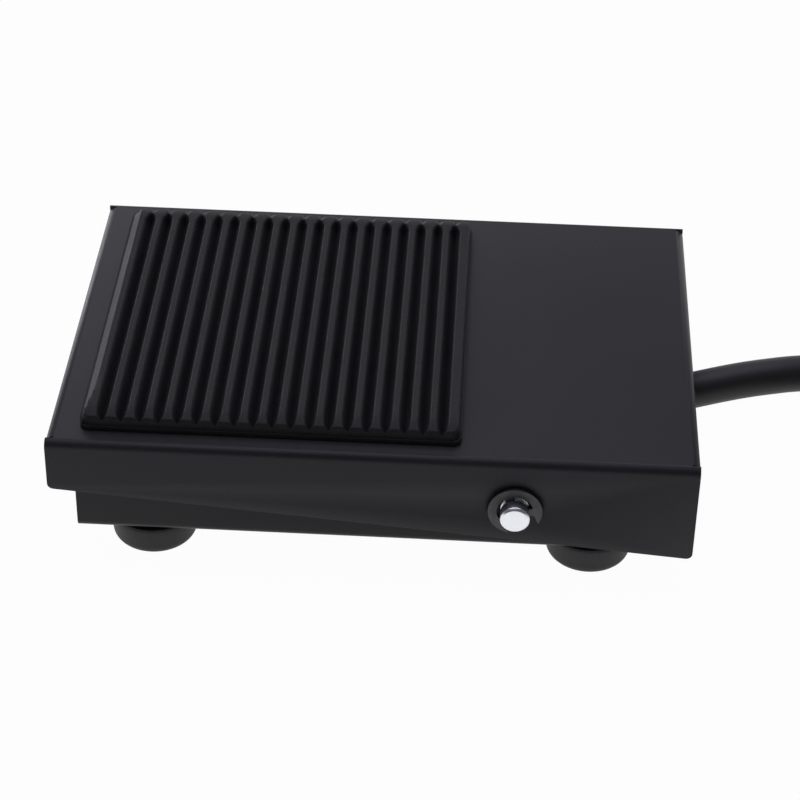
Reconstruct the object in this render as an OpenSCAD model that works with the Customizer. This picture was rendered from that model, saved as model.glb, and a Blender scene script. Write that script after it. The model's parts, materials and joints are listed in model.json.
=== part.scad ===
// Foot switch: a folded steel pedal on a hinge pin over a folded steel tray,
// with a snap switch inside and a three core lead.
// The floor is z = 0, the lead leaves at +x, and the front side of the pedal is -y.

/* [Cover] */
// Length of the cover along the pedal
cover_length = 95.2; // [88:0.5:105]
// Width of the cover across the pedal
cover_width = 67; // [62:0.5:75]
// Thickness of the folded steel sheet of cover and tray
sheet = 1; // [0.8:0.05:1.2]
// Inside radius of the folds
fold_inside = 0.25; // [0.15:0.05:0.6]
// Depth of the side flanges at the toe end
flange_toe = 8.4; // [6.5:0.1:9]
// Depth of the side flanges at the lead end
flange_lead = 16.3; // [14.5:0.1:17]
// How far the toe end flange stops above the side flanges
toe_step = 0.5; // [0.3:0.1:2]
// How far the lead end flange stops above the side flanges
lead_step = 1.8; // [0.5:0.1:3]
// Setback of the side flanges' cut edges from the end faces
edge_setback = 0.05; // [0.05:0.05:0.4]
// Radius of the side flanges' lower corners
corner_radius = 0.9; // [0.4:0.1:1.5]
// Width of the relief slits at the corners
relief = 0.3; // [0.2:0.05:0.4]

/* [Tray] */
// Height from the underside of the tray to the top of the cover
cover_rise = 16.7; // [16:0.1:18]
// Gap between the tray's sides and the cover's flanges
side_gap = 0.6; // [0.4:0.05:0.8]
// Gap between the tray and the cover's flange at the toe end
toe_gap = 2.85; // [1.5:0.1:4]
// Gap between the tray and the cover's flange at the lead end
lead_gap = 1; // [0.9:0.05:1.5]
// Gap between the cover and the wall it stops on, at rest and fully pressed
stop_gap = 0.3; // [0.2:0.05:0.5]

/* [Hinge] */
// Diameter of the hinge pin
pin_diameter = 4.4; // [3.8:0.1:5]
// Distance of the pin from the tray's lead end, as a share of the tray's length
pin_share = 0.274; // [0.26:0.002:0.29]
// Depth of the pin's axis below the top of the cover
pin_drop = 8.3; // [7.5:0.1:9.5]
// Length of pin that stands out of each flange
pin_reach = 2.9; // [1.6:0.1:3]
// Chamfer on the ends of the pin
pin_chamfer = 0.35; // [0.2:0.05:0.5]
// Radial clearance of the cover's holes on the pin
hinge_clearance = 0.05; // [0.02:0.01:0.09]
// Angle that the pedal turns through when it is pressed home
press_angle = 3.5; // [2.5:0.1:3.8]
// Outside diameter of the retaining clips
clip_diameter = 8; // [7.4:0.1:9]
// Thickness of the retaining clips
clip_thickness = 0.6; // [0.4:0.05:0.8]
// Gap between a retaining clip and the flange
clip_gap = 0.15; // [0.1:0.05:0.3]
// Depth of the pin's grooves
clip_groove = 0.5; // [0.3:0.05:0.7]

/* [Tread] */
// Length of the tread pad
pad_length = 55.8; // [50:0.1:64]
// Width of the tread pad
pad_width = 59; // [52:0.5:60]
// Thickness of the tread pad
pad_thickness = 2.6; // [2.4:0.1:4]
// Distance of the pad from the toe end of the cover
pad_inset = 4.7; // [3:0.1:6]
// Shift of the pad towards the front
pad_shift = 0.6; // [0:0.1:1]
// Number of grooves across the pad
groove_count = 19; // [12:1:20]
// Width of a groove
groove_width = 1.8; // [1.2:0.1:2]
// Depth of a groove
groove_depth = 1.8; // [1.2:0.1:1.9]
// Distance from the pad's edge to the middle of the first groove
pad_border = 3.1; // [2.4:0.05:3.5]
// Width of the bevel round the pad's top edge
pad_bevel = 1; // [0.5:0.1:1.2]

/* [Feet] */
// Diameter of a rubber foot
foot_diameter = 13.5; // [11:0.1:14]
// Height of a rubber foot
foot_height = 6.3; // [5.5:0.1:9]
// Height of the narrow collar on a foot
foot_collar = 1.1; // [0.8:0.1:2.2]
// Diameter of the collar
foot_collar_diameter = 8; // [7.4:0.1:9.5]
// Radius of a foot's lower edge
foot_edge = 1.6; // [0.4:0.1:2]
// Distance of the foot centres from the tray's toe end
foot_inset_toe = 10.4; // [9:0.1:13]
// Distance of the foot centres from the tray's lead end
foot_inset_lead = 13; // [9:0.1:13.5]
// Distance of the foot centres from the tray's sides
foot_inset_side = 7.9; // [7:0.1:9]
// Diameter of a foot screw
foot_screw = 3; // [2.5:0.1:3.2]

/* [Spring] */
// Mean diameter of the return spring
spring_diameter = 7; // [6.4:0.1:7.6]
// Wire diameter of the return spring
spring_wire = 0.9; // [0.7:0.05:1]
// Number of turns in the return spring
spring_turns = 6; // [4:1:7]
// Distance of the spring from the tray's toe end, as a share of the tray's length
spring_share = 0.19; // [0.17:0.005:0.2]

/* [Switch] */
// Length of the snap switch
case_length = 19.8; // [19:0.1:21]
// Height of the snap switch's case
case_height = 9.5; // [9.3:0.05:9.7]
// Width of the case without its lid
case_width = 5.5; // [5:0.1:6]
// Wall thickness of the case and its lid
case_wall = 0.9; // [0.8:0.05:1]
// Distance of the switch's screws from the ends of its case
case_screw_inset = 5.15; // [4.9:0.05:5.4]
// Height of the screws above the underside of the case
case_screw_height = 2.8; // [2.6:0.05:3]
// Diameter of the switch's screws
case_screw = 2; // [1.8:0.1:2.2]
// Distance of the middle of the switch from the hinge pin, as a share of the tray's length
switch_share = 0.28; // [0.27:0.002:0.29]
// Length of the switch's lever
lever_length = 16; // [15:0.1:16.5]
// Distance from the lever's hinge to the plunger
plunger_arm = 4.2; // [4:0.05:4.4]
// Diameter of the plunger
plunger_diameter = 2; // [1.8:0.1:2.2]

/* [Lead] */
// Diameter of the lead
lead_diameter = 5.7; // [5.3:0.05:5.8]
// Diameter of one core of the lead
core_diameter = 1.9; // [1.6:0.05:1.95]
// Mean diameter of the coil that the lead is put away in
coil_diameter = 66.6; // [64:0.1:72]
// Number of loops in the coil
coil_turns = 4; // [4:2:6]
// Distance between neighbouring loops
coil_pitch = 6.2; // [6.2:0.05:6.6]
// Length of core that stands out of the lead's free end
core_length = 26; // [22:0.5:30]
// Length of stripped conductor on each core
bare_length = 6; // [4:0.5:8]

/* [Hidden] */

// Smoothness of round shapes
$fn = 48;
arc_steps = 8;
quarter = 90;
// Overrun that makes every cut pass right through
over = 1;
// Clearance of pieces that are fixed in a hole
fit = 0.02;
// Clearance of screws in their holes
hole_gap = 0.1;

// Places that the sizes above give
fold = sheet + fold_inside;
half_length = cover_length / 2;
half_width = cover_width / 2;
tray_bottom = foot_height;
tray_floor = tray_bottom + sheet;
cover_top = tray_bottom + cover_rise;
cover_under = cover_top - sheet;
tray_half_width = half_width - sheet - side_gap;
tray_toe = -half_length + sheet + toe_gap;
tray_lead = half_length - sheet - lead_gap;
tray_length = tray_lead - tray_toe;
pin_x = tray_lead - pin_share * tray_length;
pin_z = cover_top - pin_drop;
wall_top = cover_under - stop_gap;
wall_top_toe = wall_top - (pin_x - tray_toe) * sin(press_angle);

// Gap at the seams where a folded end meets a folded side
seam = 0.15;

// Foot fixings
foot_taper = 0.35;
foot_head_diameter = foot_screw * 1.85;
foot_head_height = foot_screw * 0.6;
foot_recess_depth = foot_head_height + 0.8 * sheet;
foot_recess_gap = 0.5;
washer_thickness = 0.6;
nut_height = 0.8 * foot_screw;
nut_diameter = 2.1 * foot_screw;
washer_diameter = 2.3 * foot_screw;
thread_overhang = 0.5;
foot_places = [[tray_toe + foot_inset_toe, -1], [tray_lead - foot_inset_lead, -1],
    [tray_toe + foot_inset_toe, 1], [tray_lead - foot_inset_lead, 1]];
foot_y = tray_half_width - foot_inset_side;

// Spring and its seats
spring_x = tray_toe + spring_share * tray_length;
seat_base = 0.8;
seat_rim = 1.2;
seat_wall = 0.8;
seat_gap = 0.35;
seat_stub_diameter = 3;
peg_diameter = spring_diameter - spring_wire - 0.9 * sheet;
peg_height = 2;
spring_end_gap = 0.1;

// Snap switch
case_lift = 0.3;
case_bottom = tray_floor + case_lift;
case_top = case_bottom + case_height;
case_x = pin_x - switch_share * tray_length;
case_toe = case_x - case_length / 2;
case_lead = case_x + case_length / 2;
case_screw_pitch = case_length - 2 * case_screw_inset;
case_back = case_width / 2;
lid_back = case_back + case_wall;
case_inside = case_top - case_wall;
case_screw_z = case_bottom + case_screw_height;
boss_diameter = case_screw + 2 * case_wall;
lever_thickness = 0.3;
lever_width = 3.2;
lever_setback = 1.7;
lever_height = 0.85;
lever_x = case_lead - lever_setback;
lever_z = case_top + lever_height;
barrel_diameter = 1.1;
trunnion_diameter = 0.7;
bearing_gap = 0.05;
trunnion_length = 0.8;
ear_thickness = 0.8;
ear_gap = 0.3;
ear_width = 2;
striker_height = 1.6;
striker_length = 5;
striker_width = 6;
contact_gap = 0.3;
touch_gap = 0.3;
lever_tip_z = cover_under - striker_height - contact_gap - lever_thickness;
lever_angle = asin((lever_tip_z - lever_z) / lever_length);
striker_x = lever_x - lever_length;
lever_ratio = (pin_x - striker_x) / lever_length;
plunger_x = lever_x - plunger_arm;
plunger_top = lever_z + (plunger_arm - plunger_diameter / 2) * sin(lever_angle) - touch_gap;
plunger_travel = plunger_arm * lever_ratio * press_angle * PI / 180;
collar_width = 0.5;
collar_height = 0.6;

// Contacts inside the switch
strip = 0.5;
tab_width = 2.4;
tab_reach = 4.8;
blade = 0.2;
blade_width = 2.4;
blade_gap = 0.1;
button_diameter = 1.6;
button_height = 0.4;
contact_setback = 2.5;
contact_x = case_lead - contact_setback;
tab_bottom = case_bottom + case_wall + blade_gap;
post_x = case_toe + case_wall + blade_gap;
upper_button_z = case_inside - strip - 2 * blade_gap - button_height;
blade_top = upper_button_z - touch_gap - button_height / 2;
pivot_diameter = 0.5;
blade_pivot_x = post_x + strip + touch_gap + pivot_diameter / 2;
blade_pivot_z = blade_top - blade / 2;
blade_arm = plunger_x - blade_pivot_x;
contact_travel = plunger_travel * (contact_x - blade_pivot_x) / blade_arm;
rivet_top = upper_button_z - touch_gap;
rivet_bottom = blade_top - blade - button_height / 4;
lower_button_top = rivet_bottom - contact_travel - touch_gap;
plunger_bottom = blade_top + touch_gap;
open_tab_x = case_x - tab_width / 2;
closed_tab_x = case_lead - case_wall - blade_gap - tab_width;
tab_starts = [post_x, open_tab_x, closed_tab_x];
slot_gap = 0.05;

// Bracket that holds the switch
bracket_sheet = 1;
bracket_margin = 2.25;
bracket_length = case_screw_pitch + 2 * bracket_margin;
bracket_height = 9.2;
bracket_foot = 9.4;
rivet_diameter = 3;
rivet_head = 5.2;
rivet_head_height = 0.7;
rivet_inset = 2.5;
rivet_pitch = bracket_length - 2 * rivet_inset;
rivet_y = lid_back + bracket_foot - rivet_head / 2 - bracket_sheet / 2;
screw_head = 3.8;
screw_head_height = 1.2;
case_nut_diameter = 4.4;
case_nut_height = 1.5;

// Sleeves on the terminals and the wires to them
sleeve_length = 5;
sleeve_start = 1.6;
sleeve_width = 3.8;
sleeve_height = 2.2;
tab_middle = tab_bottom + strip / 2;
sleeve_end_y = -case_back - sleeve_start - sleeve_length;

// Lead exit: its middle and its direction where it leaves the grommet
exit_x = tray_lead + 1.1 * sheet;
exit_y = -0.4;
exit_height = 7;
exit_z = tray_bottom + exit_height;
exit_rise = [1, 0.22, 0.16];
exit_way = exit_rise / norm(exit_rise);
exit_point = [exit_x, exit_y, exit_z];
inner_length = 15;
inner_end = exit_point - inner_length * exit_way;
lead_fit = 0.05;

// Grommet in the tray's end wall
grommet_neck = 8.4;
grommet_rim = 9.6;
grommet_rim_height = 1;
grommet_length = sheet + 2 * fit + 2 * grommet_rim_height;
grommet_x = tray_lead - sheet / 2;
grommet_back = exit_x - grommet_x;
grommet_middle = exit_point - exit_way * grommet_back / exit_way[0];
notch_gap = 0.7;
notch_diameter = grommet_rim + 2 * notch_gap;

// Saddle that clamps the lead to the tray
saddle_from_exit = 10.8;
saddle_length = 6;
saddle_wall = 1.2;
saddle_foot = 2;
saddle_width = 18.4;
saddle_middle = exit_point - saddle_from_exit * exit_way;
saddle_radius = lead_diameter / 2 + lead_fit + saddle_wall;
saddle_screw = 2.6;
saddle_head = 4.6;
saddle_head_height = 1.4;
saddle_screw_pitch = 13.2;

// Free stretch of the lead: out of the grommet, up a little, and down to the floor
lead_steps = [[0, 0, 0], [3, 0.7, 0.45], [6.6, 1.5, 1], [10.4, 2.4, 1.4], [14, 3.3, 1.55],
    [17.6, 4.3, 1.5], [21.4, 5.4, 1.1], [25.4, 6.8, 0.05], [29.4, 8.4, -1.65], [33.4, 10.2, -3.95],
    [37.4, 12.1, -6.4], [41.4, 14, -8.3], [45.4, 15.8, -9.5], [50.4, 17.4, -10.1],
    [55.4, 18.6, -10.35], [60.4, 19.4, -10.44], [64.4, 19.8, -10.45]];
lead_route = [for (p = lead_steps) exit_point + p];
lead_end = lead_route[len(lead_route) - 1];
lead_sides = 8;
lead_radius = lead_diameter / 2;

// Coil of the length that is put away, tied once
coil_sides = 6;
coil_rings = 24;
coil_start = lead_end + [lead_diameter, 0, 0];
coil_outer = coil_diameter / 2 + coil_pitch * coil_turns / 4;
coil_centre = [coil_start[0], coil_start[1] - coil_outer, 0];
coil_lift = coil_pitch;
climb_share = 0.25;
// Sweep of the cores out of the free end, and how far they sink onto the turn below
core_bend = 28;
core_sink = 1.05;
core_places = [150, 270, 30];
core_ring = 0.66 * core_diameter;
bare_diameter = 0.7 * core_diameter;
tie_angle = 200;
tie_spread = 24;
tie_thickness = 0.8;
tie_width = 3.6;
tie_gap = 0.3;
tie_lift = tie_thickness + tie_gap;

// Wires inside: their lanes along the floor and the bend into the sleeves
lane_start = 17.5;
lane_pitch = 2.3;
wire_bend = 4 * core_diameter;
wire_steps = 16;
lean_share = 0.58;

// Sweep of a round tube along points, with its ends square to the two directions given
function unit(v) = v / norm(v);
function tangents(p, a, b) = [for (i = [0 : len(p) - 1])
    i == 0 ? unit(a) : i == len(p) - 1 ? unit(b) : unit(unit(p[i + 1] - p[i]) + unit(p[i] - p[i - 1]))];
function first_side(t) = unit(cross(t, abs(t[2]) > abs(t[1]) ? [0, 1, 0] : [0, 0, 1]));
function carried(u, t) = unit(u - (u * t) * t);
function sides_along(t, u, i = 0) = i == len(t) ? [] :
    let (v = carried(u, t[i])) concat([v], sides_along(t, v, i + 1));
function ring(p, t, u, r, n) = [for (k = [0 : n - 1])
    p + r * cos(360 * k / n) * u + r * sin(360 * k / n) * cross(t, u)];

module tube(p, radius, n, a, b) {
    t = tangents(p, a, b);
    u = sides_along(t, first_side(t[0]));
    rings = len(p);
    points = [for (i = [0 : rings - 1]) each ring(p[i], t[i], u[i], radius, n)];
    walls = [for (i = [0 : rings - 2], k = [0 : n - 1])
        let (k2 = (k + 1) % n)
        each [[i * n + k, (i + 1) * n + k, (i + 1) * n + k2], [i * n + k, (i + 1) * n + k2, i * n + k2]]];
    caps = [[for (k = [0 : n - 1]) k], [for (k = [n - 1 : -1 : 0]) (rings - 1) * n + k]];
    polyhedron(points, concat(walls, caps));
}

// Solid that points along a direction, from a place
module along(place, way) {
    translate(place)
        rotate([0, acos(way[2]), atan2(way[1], way[0])])
            children();
}

// Points of a round corner
function arc(c, r, a0, a1) = [for (k = [0 : arc_steps]) let (a = a0 + (a1 - a0) * k / arc_steps)
    c + r * [cos(a), sin(a)]];

// Rounded channel outline: its back is the line y = 0 and its walls go down
module round_back(w, h, r) {
    translate([-w / 2, -h])
        square([w, h - r]);
    translate([-w / 2 + r, -h])
        square([w - 2 * r, h]);
    for (s = [-1, 1])
        translate([s * (w / 2 - r), -r])
            circle(r);
}

module channel(w, h) {
    difference() {
        round_back(w, h, fold);
        translate([0, -sheet])
            round_back(w - 2 * sheet, h, fold_inside);
    }
}

// Folded sheet box whose back is the plane z = 0 and whose walls hang down
module folded_box(x0, x1, width, depth, setback, toe_depth, lead_depth) {
    long = x1 - x0;
    middle = (x0 + x1) / 2;
    intersection() {
        translate([x0, 0, 0])
            rotate([90, 0, 90])
                linear_extrude(long)
                    channel(width, depth);
        union() {
            translate([x0 + fold, -width / 2, -depth - over])
                cube([long - 2 * fold, width, depth + 2 * over]);
            for (s = [0, 1])
                mirror([0, s, 0])
                    translate([x0 + setback, width / 2 - fold, -depth - over])
                        cube([long - 2 * setback, fold, depth + 2 * over]);
        }
        rotate([90, 0, 0])
            linear_extrude(width + 2 * over, center = true)
                children();
    }
    intersection() {
        translate([middle, 0, 0])
            rotate([90, 0, 0])
                linear_extrude(width - 2 * (fold + relief), center = true)
                    channel(long, depth);
        union() {
            translate([x0, -width / 2, -toe_depth])
                cube([long / 2, width, toe_depth]);
            translate([middle, -width / 2, -lead_depth])
                cube([long / 2, width, lead_depth]);
        }
    }
    end_width = width - 2 * (sheet + seam);
    translate([x0, -end_width / 2, -toe_depth])
        cube([sheet, end_width, toe_depth - fold]);
    translate([x1 - sheet, -end_width / 2, -lead_depth])
        cube([sheet, end_width, lead_depth - fold]);
}

// Side outline of the cover, with round lower corners
module flange_outline() {
    x0 = -half_length + edge_setback;
    x1 = half_length - edge_setback;
    slope = atan2(flange_toe - flange_lead, cover_length);
    toe = [x0, -flange_toe] + corner_radius * [1, (1 + sin(slope)) / cos(slope)];
    lead_corner = [x1, -flange_lead] + corner_radius * [-1, (1 - sin(slope)) / cos(slope)];
    polygon(concat([[x0, over]], arc(toe, corner_radius, -2 * quarter, slope - quarter),
        arc(lead_corner, corner_radius, slope - quarter, 0), [[x1, over]]));
}

module cross_hole(x, z, r) {
    translate([x, 0, z])
        rotate([90, 0, 0])
            cylinder(h = cover_width + 2 * over, r = r, center = true);
}

module pedal_cover() {
    notch_depth = lead_gap + sheet + over;
    color([0.2, 0.2, 0.22])
        difference() {
            translate([0, 0, cover_top])
                folded_box(-half_length, half_length, cover_width, flange_lead, edge_setback,
                    flange_toe - toe_step, flange_lead - lead_step)
                    flange_outline();
            cross_hole(pin_x, pin_z, pin_diameter / 2 + hinge_clearance);
            translate([tray_lead, grommet_middle[1], grommet_middle[2]])
                rotate([0, 90, 0])
                    cylinder(h = notch_depth, d = notch_diameter);
            translate([tray_lead, grommet_middle[1] - notch_diameter / 2, 0])
                cube([notch_depth, notch_diameter, grommet_middle[2]]);
        }
}

module spring_peg() {
    color([0.55, 0.56, 0.58])
        translate([spring_x, 0, cover_under - peg_height])
            cylinder(h = peg_height, d = peg_diameter);
}

module striker_block() {
    color([0.55, 0.56, 0.58])
        translate([striker_x - striker_length / 2, -striker_width / 2, cover_under - striker_height])
            cube([striker_length, striker_width, striker_height]);
}

// Plan of a groove: straight sides and a point at each end
// Groove from y = -near to y = far, with a long point in front and a short one behind
module groove(near, far, near_point, far_point) {
    r = groove_width / 2;
    translate([0, 0, r - groove_depth]) {
        linear_extrude(groove_depth + over)
            polygon([[-r, -near], [0, -near - near_point], [r, -near], [r, far], [0, far + far_point], [-r, far]]);
        translate([0, far, 0])
            rotate([90, 0, 0])
                cylinder(h = near + far, r = r);
        translate([0, -near, 0])
            rotate([90, 0, 0])
                cylinder(h = near_point, r1 = r, r2 = 0);
        translate([0, far, 0])
            rotate([-90, 0, 0])
                cylinder(h = far_point, r1 = r, r2 = 0);
    }
}

// Section of the pad, with a bevel along both top edges
module pad_section(long) {
    drop = pad_thickness / 3;
    polygon([[-long / 2, 0], [-long / 2, pad_thickness - 2 * drop], [-long / 2 + pad_bevel, pad_thickness],
        [long / 2 - pad_bevel, pad_thickness], [long / 2, pad_thickness - 2 * drop], [long / 2, 0]]);
}

module tread_pad() {
    near_point = 2.7 * groove_width;
    far_point = 1.4 * groove_width;
    near = pad_width / 2 - 0.6 * pad_bevel - near_point;
    far = pad_width / 2 - 1.2 * pad_bevel - far_point;
    pitch = (pad_length - 2 * pad_border) / (groove_count - 1);
    x0 = -half_length + pad_inset;
    color([0.13, 0.13, 0.14])
        translate([x0 + pad_length / 2, -pad_shift, cover_top])
            difference() {
                intersection() {
                    rotate([90, 0, 0])
                        linear_extrude(pad_width, center = true)
                            pad_section(pad_length);
                    rotate([90, 0, 90])
                        linear_extrude(pad_length, center = true)
                            pad_section(pad_width);
                }
                for (i = [0 : groove_count - 1])
                    translate([pad_border - pad_length / 2 + i * pitch, 0, pad_thickness])
                        groove(near, far, near_point, far_point);
            }
}

module base_tray() {
    top = wall_top - tray_bottom;
    top_toe = wall_top_toe - tray_bottom;
    color([0.19, 0.19, 0.21])
        difference() {
            translate([0, 0, tray_bottom])
                mirror([0, 0, 1])
                    folded_box(tray_toe, tray_lead, 2 * tray_half_width, top, 0, top_toe, top)
                        polygon([[tray_toe, over], [tray_toe, -top_toe], [pin_x, -top],
                            [tray_lead, -top], [tray_lead, over]]);
            cross_hole(pin_x, pin_z, pin_diameter / 2 + fit);
            translate([tray_lead + over, grommet_middle[1], grommet_middle[2]])
                rotate([0, -90, 0])
                    cylinder(h = sheet + 2 * over, d = grommet_neck + 2 * fit);
            for (p = foot_places)
                floor_hole(p[0], p[1] * foot_y, foot_screw + 2 * hole_gap);
            floor_hole(spring_x, 0, seat_stub_diameter + 2 * fit);
            for (s = [-1, 1]) {
                floor_hole(case_x + s * rivet_pitch / 2, rivet_y, rivet_diameter + 2 * fit);
                floor_hole(saddle_middle[0], saddle_middle[1] + s * saddle_screw_pitch / 2,
                    saddle_screw + 2 * fit);
            }
        }
}

module floor_hole(x, y, d) {
    translate([x, y, tray_bottom - over])
        cylinder(h = sheet + 2 * over, d = d);
}

module hinge_pin() {
    r = pin_diameter / 2;
    groove_r = r - clip_groove;
    end = half_width + pin_reach;
    inner = half_width + clip_gap / 2;
    outer = half_width + clip_gap * 1.5 + clip_thickness;
    color([0.8, 0.81, 0.83])
        translate([pin_x, 0, pin_z])
            rotate([90, 0, 0])
                rotate_extrude()
                    polygon([[0, -end], [r - pin_chamfer, -end], [r, -end + pin_chamfer], [r, -outer],
                        [groove_r, -outer], [groove_r, -inner], [r, -inner], [r, inner],
                        [groove_r, inner], [groove_r, outer], [r, outer], [r, end - pin_chamfer],
                        [r - pin_chamfer, end], [0, end]]);
}

// Open ring with three lugs that reach into the pin's groove
module clip_outline() {
    lug_width = 0.28 * pin_diameter;
    mouth = 0.72 * pin_diameter;
    wide_mouth = 1.05 * pin_diameter;
    mouth_start = 0.39 * pin_diameter;
    groove_r = pin_diameter / 2 - clip_groove + fit;
    ring_r = clip_diameter / 2 - 0.3 * pin_diameter;
    difference() {
        union() {
            difference() {
                circle(d = clip_diameter);
                circle(ring_r);
            }
            for (a = [-112, 0, 112])
                rotate(a)
                    translate([-ring_r - lug_width / 4, -lug_width / 2])
                        square([ring_r, lug_width]);
        }
        circle(groove_r);
        translate([0, -mouth / 2])
            square([clip_diameter, mouth]);
        translate([mouth_start, -wide_mouth / 2])
            square([clip_diameter, wide_mouth]);
    }
}

module retaining_clips() {
    mouth_angle = -66;
    color([0.16, 0.16, 0.17])
        for (s = [0, 1])
            mirror([0, s, 0])
                translate([pin_x, -half_width - clip_gap, pin_z])
                    rotate([90, 0, 0])
                        linear_extrude(clip_thickness)
                            rotate(mouth_angle)
                                clip_outline();
}

module return_spring() {
    rings = 8;
    sides = 6;
    low = tray_floor + seat_base + spring_wire / 2;
    high = cover_under - spring_end_gap - spring_wire / 2;
    steps = rings * spring_turns;
    route = [for (i = [0 : steps]) let (a = 360 * i / rings)
        [spring_x + spring_diameter / 2 * cos(a), spring_diameter / 2 * sin(a), low + (high - low) * i / steps]];
    rise = (high - low) / (PI * spring_diameter * spring_turns);
    echo(spring_gap = (high - low) / spring_turns - spring_wire);
    color([0.7, 0.71, 0.73])
        tube(route, spring_wire / 2, sides, [0, 1, rise], [0, 1, rise]);
}

module spring_seat() {
    inside = spring_diameter + spring_wire + 2 * seat_gap;
    color([0.85, 0.84, 0.8])
        translate([spring_x, 0, tray_floor]) {
            difference() {
                cylinder(h = seat_base + seat_rim, d = inside + 2 * seat_wall);
                translate([0, 0, seat_base])
                    cylinder(h = seat_rim + over, d = inside);
            }
            translate([0, 0, -sheet])
                cylinder(h = sheet + seat_base / 2, d = seat_stub_diameter);
        }
}

module foot(place) {
    body = foot_height - foot_collar;
    r = foot_diameter / 2;
    low_r = r - foot_taper;
    color([0.12, 0.12, 0.13])
        translate([place[0], place[1] * foot_y, 0])
            difference() {
                union() {
                    rotate_extrude()
                        polygon(concat([[0, 0]], arc([low_r - foot_edge, foot_edge], foot_edge, 270, 360),
                            [[r, body], [0, body]]));
                    translate([0, 0, body / 2])
                        cylinder(h = foot_height - body / 2, d = foot_collar_diameter);
                }
                translate([0, 0, -over])
                    cylinder(h = foot_recess_depth + over, d = foot_head_diameter + 2 * foot_recess_gap);
                cylinder(h = foot_height + over, d = foot_screw + 2 * hole_gap);
            }
}

module foot_front_toe() {
    foot(foot_places[0]);
}

module foot_front_lead() {
    foot(foot_places[1]);
}

module foot_rear_toe() {
    foot(foot_places[2]);
}

module foot_rear_lead() {
    foot(foot_places[3]);
}

module at_feet(z) {
    for (p = foot_places)
        translate([p[0], p[1] * foot_y, z])
            children();
}

module cross_slot(d, depth) {
    arm = 0.75 * d;
    width = 0.16 * d;
    for (a = [0, 90])
        rotate(a)
            translate([-arm / 2, -width / 2, -over])
                cube([arm, width, depth + over]);
}

module foot_screws() {
    head_bottom = foot_recess_depth - foot_head_height;
    length = tray_floor + washer_thickness + nut_height + thread_overhang - foot_recess_depth;
    color([0.75, 0.76, 0.78])
        at_feet(head_bottom)
            difference() {
                union() {
                    cylinder(h = foot_head_height, d = foot_head_diameter);
                    cylinder(h = foot_head_height + length, d = foot_screw);
                }
                cross_slot(foot_head_diameter, foot_head_height / 2);
            }
}

module foot_washers() {
    color([0.75, 0.76, 0.78])
        at_feet(tray_floor)
            difference() {
                cylinder(h = washer_thickness, d = washer_diameter);
                translate([0, 0, -over])
                    cylinder(h = washer_thickness + 2 * over, d = foot_screw + 2 * hole_gap);
            }
}

module foot_nuts() {
    color([0.75, 0.76, 0.78])
        at_feet(tray_floor + washer_thickness)
            difference() {
                cylinder(h = nut_height, d = nut_diameter, $fn = 6);
                translate([0, 0, -over])
                    cylinder(h = nut_height + 2 * over, d = foot_screw + 2 * fit);
            }
}

module at_case_screws(y) {
    for (s = [-1, 1])
        translate([case_x + s * case_screw_pitch / 2, y, case_screw_z])
            rotate([-90, 0, 0])
                children();
}

module switch_bracket() {
    x0 = case_x - bracket_length / 2;
    color([0.72, 0.73, 0.75])
        difference() {
            translate([x0, lid_back, tray_floor])
                rotate([90, 0, 90])
                    linear_extrude(bracket_length)
                        polygon([[0, 0], [bracket_foot, 0], [bracket_foot, bracket_sheet],
                            [bracket_sheet, bracket_sheet], [bracket_sheet, bracket_height],
                            [0, bracket_height]]);
            at_case_screws(lid_back - over)
                cylinder(h = bracket_sheet + 2 * over, d = case_screw + 2 * hole_gap);
            for (s = [-1, 1])
                translate([case_x + s * rivet_pitch / 2, rivet_y, tray_floor - over])
                    cylinder(h = bracket_sheet + 2 * over, d = rivet_diameter + 2 * fit);
        }
}

module bracket_rivets() {
    color([0.72, 0.73, 0.75])
        for (s = [-1, 1])
            translate([case_x + s * rivet_pitch / 2, rivet_y, tray_bottom - rivet_head_height]) {
                cylinder(h = rivet_head_height, d = rivet_head);
                cylinder(h = sheet + bracket_sheet + 2 * rivet_head_height, d = rivet_diameter);
                translate([0, 0, rivet_head_height + sheet + bracket_sheet])
                    cylinder(h = rivet_head_height, d = rivet_head);
            }
}

module switch_screws() {
    length = case_width + case_wall + bracket_sheet + case_nut_height + thread_overhang;
    color([0.78, 0.79, 0.8])
        at_case_screws(-case_back - screw_head_height)
            difference() {
                union() {
                    cylinder(h = screw_head_height, d = screw_head);
                    cylinder(h = screw_head_height + length, d = case_screw);
                }
                cross_slot(screw_head, screw_head_height / 2);
            }
}

module switch_nuts() {
    color([0.78, 0.79, 0.8])
        at_case_screws(lid_back + bracket_sheet)
            difference() {
                cylinder(h = case_nut_height, d = case_nut_diameter, $fn = 6);
                translate([0, 0, -over])
                    cylinder(h = case_nut_height + 2 * over, d = case_screw + 2 * fit);
            }
}

module lever_ears() {
    inner = lever_width / 2 + ear_gap;
    ear_height = lever_height + case_wall / 2;
    for (s = [0, 1])
        mirror([0, s, 0])
            translate([lever_x, inner + ear_thickness, lever_z])
                rotate([90, 0, 0])
                    difference() {
                        linear_extrude(ear_thickness) {
                            circle(d = ear_width);
                            translate([-ear_width / 2, -ear_height])
                                square([ear_width, ear_height]);
                        }
                        translate([0, 0, -over])
                            cylinder(h = ear_thickness + 2 * over, d = trunnion_diameter + 2 * bearing_gap);
                    }
}

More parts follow.
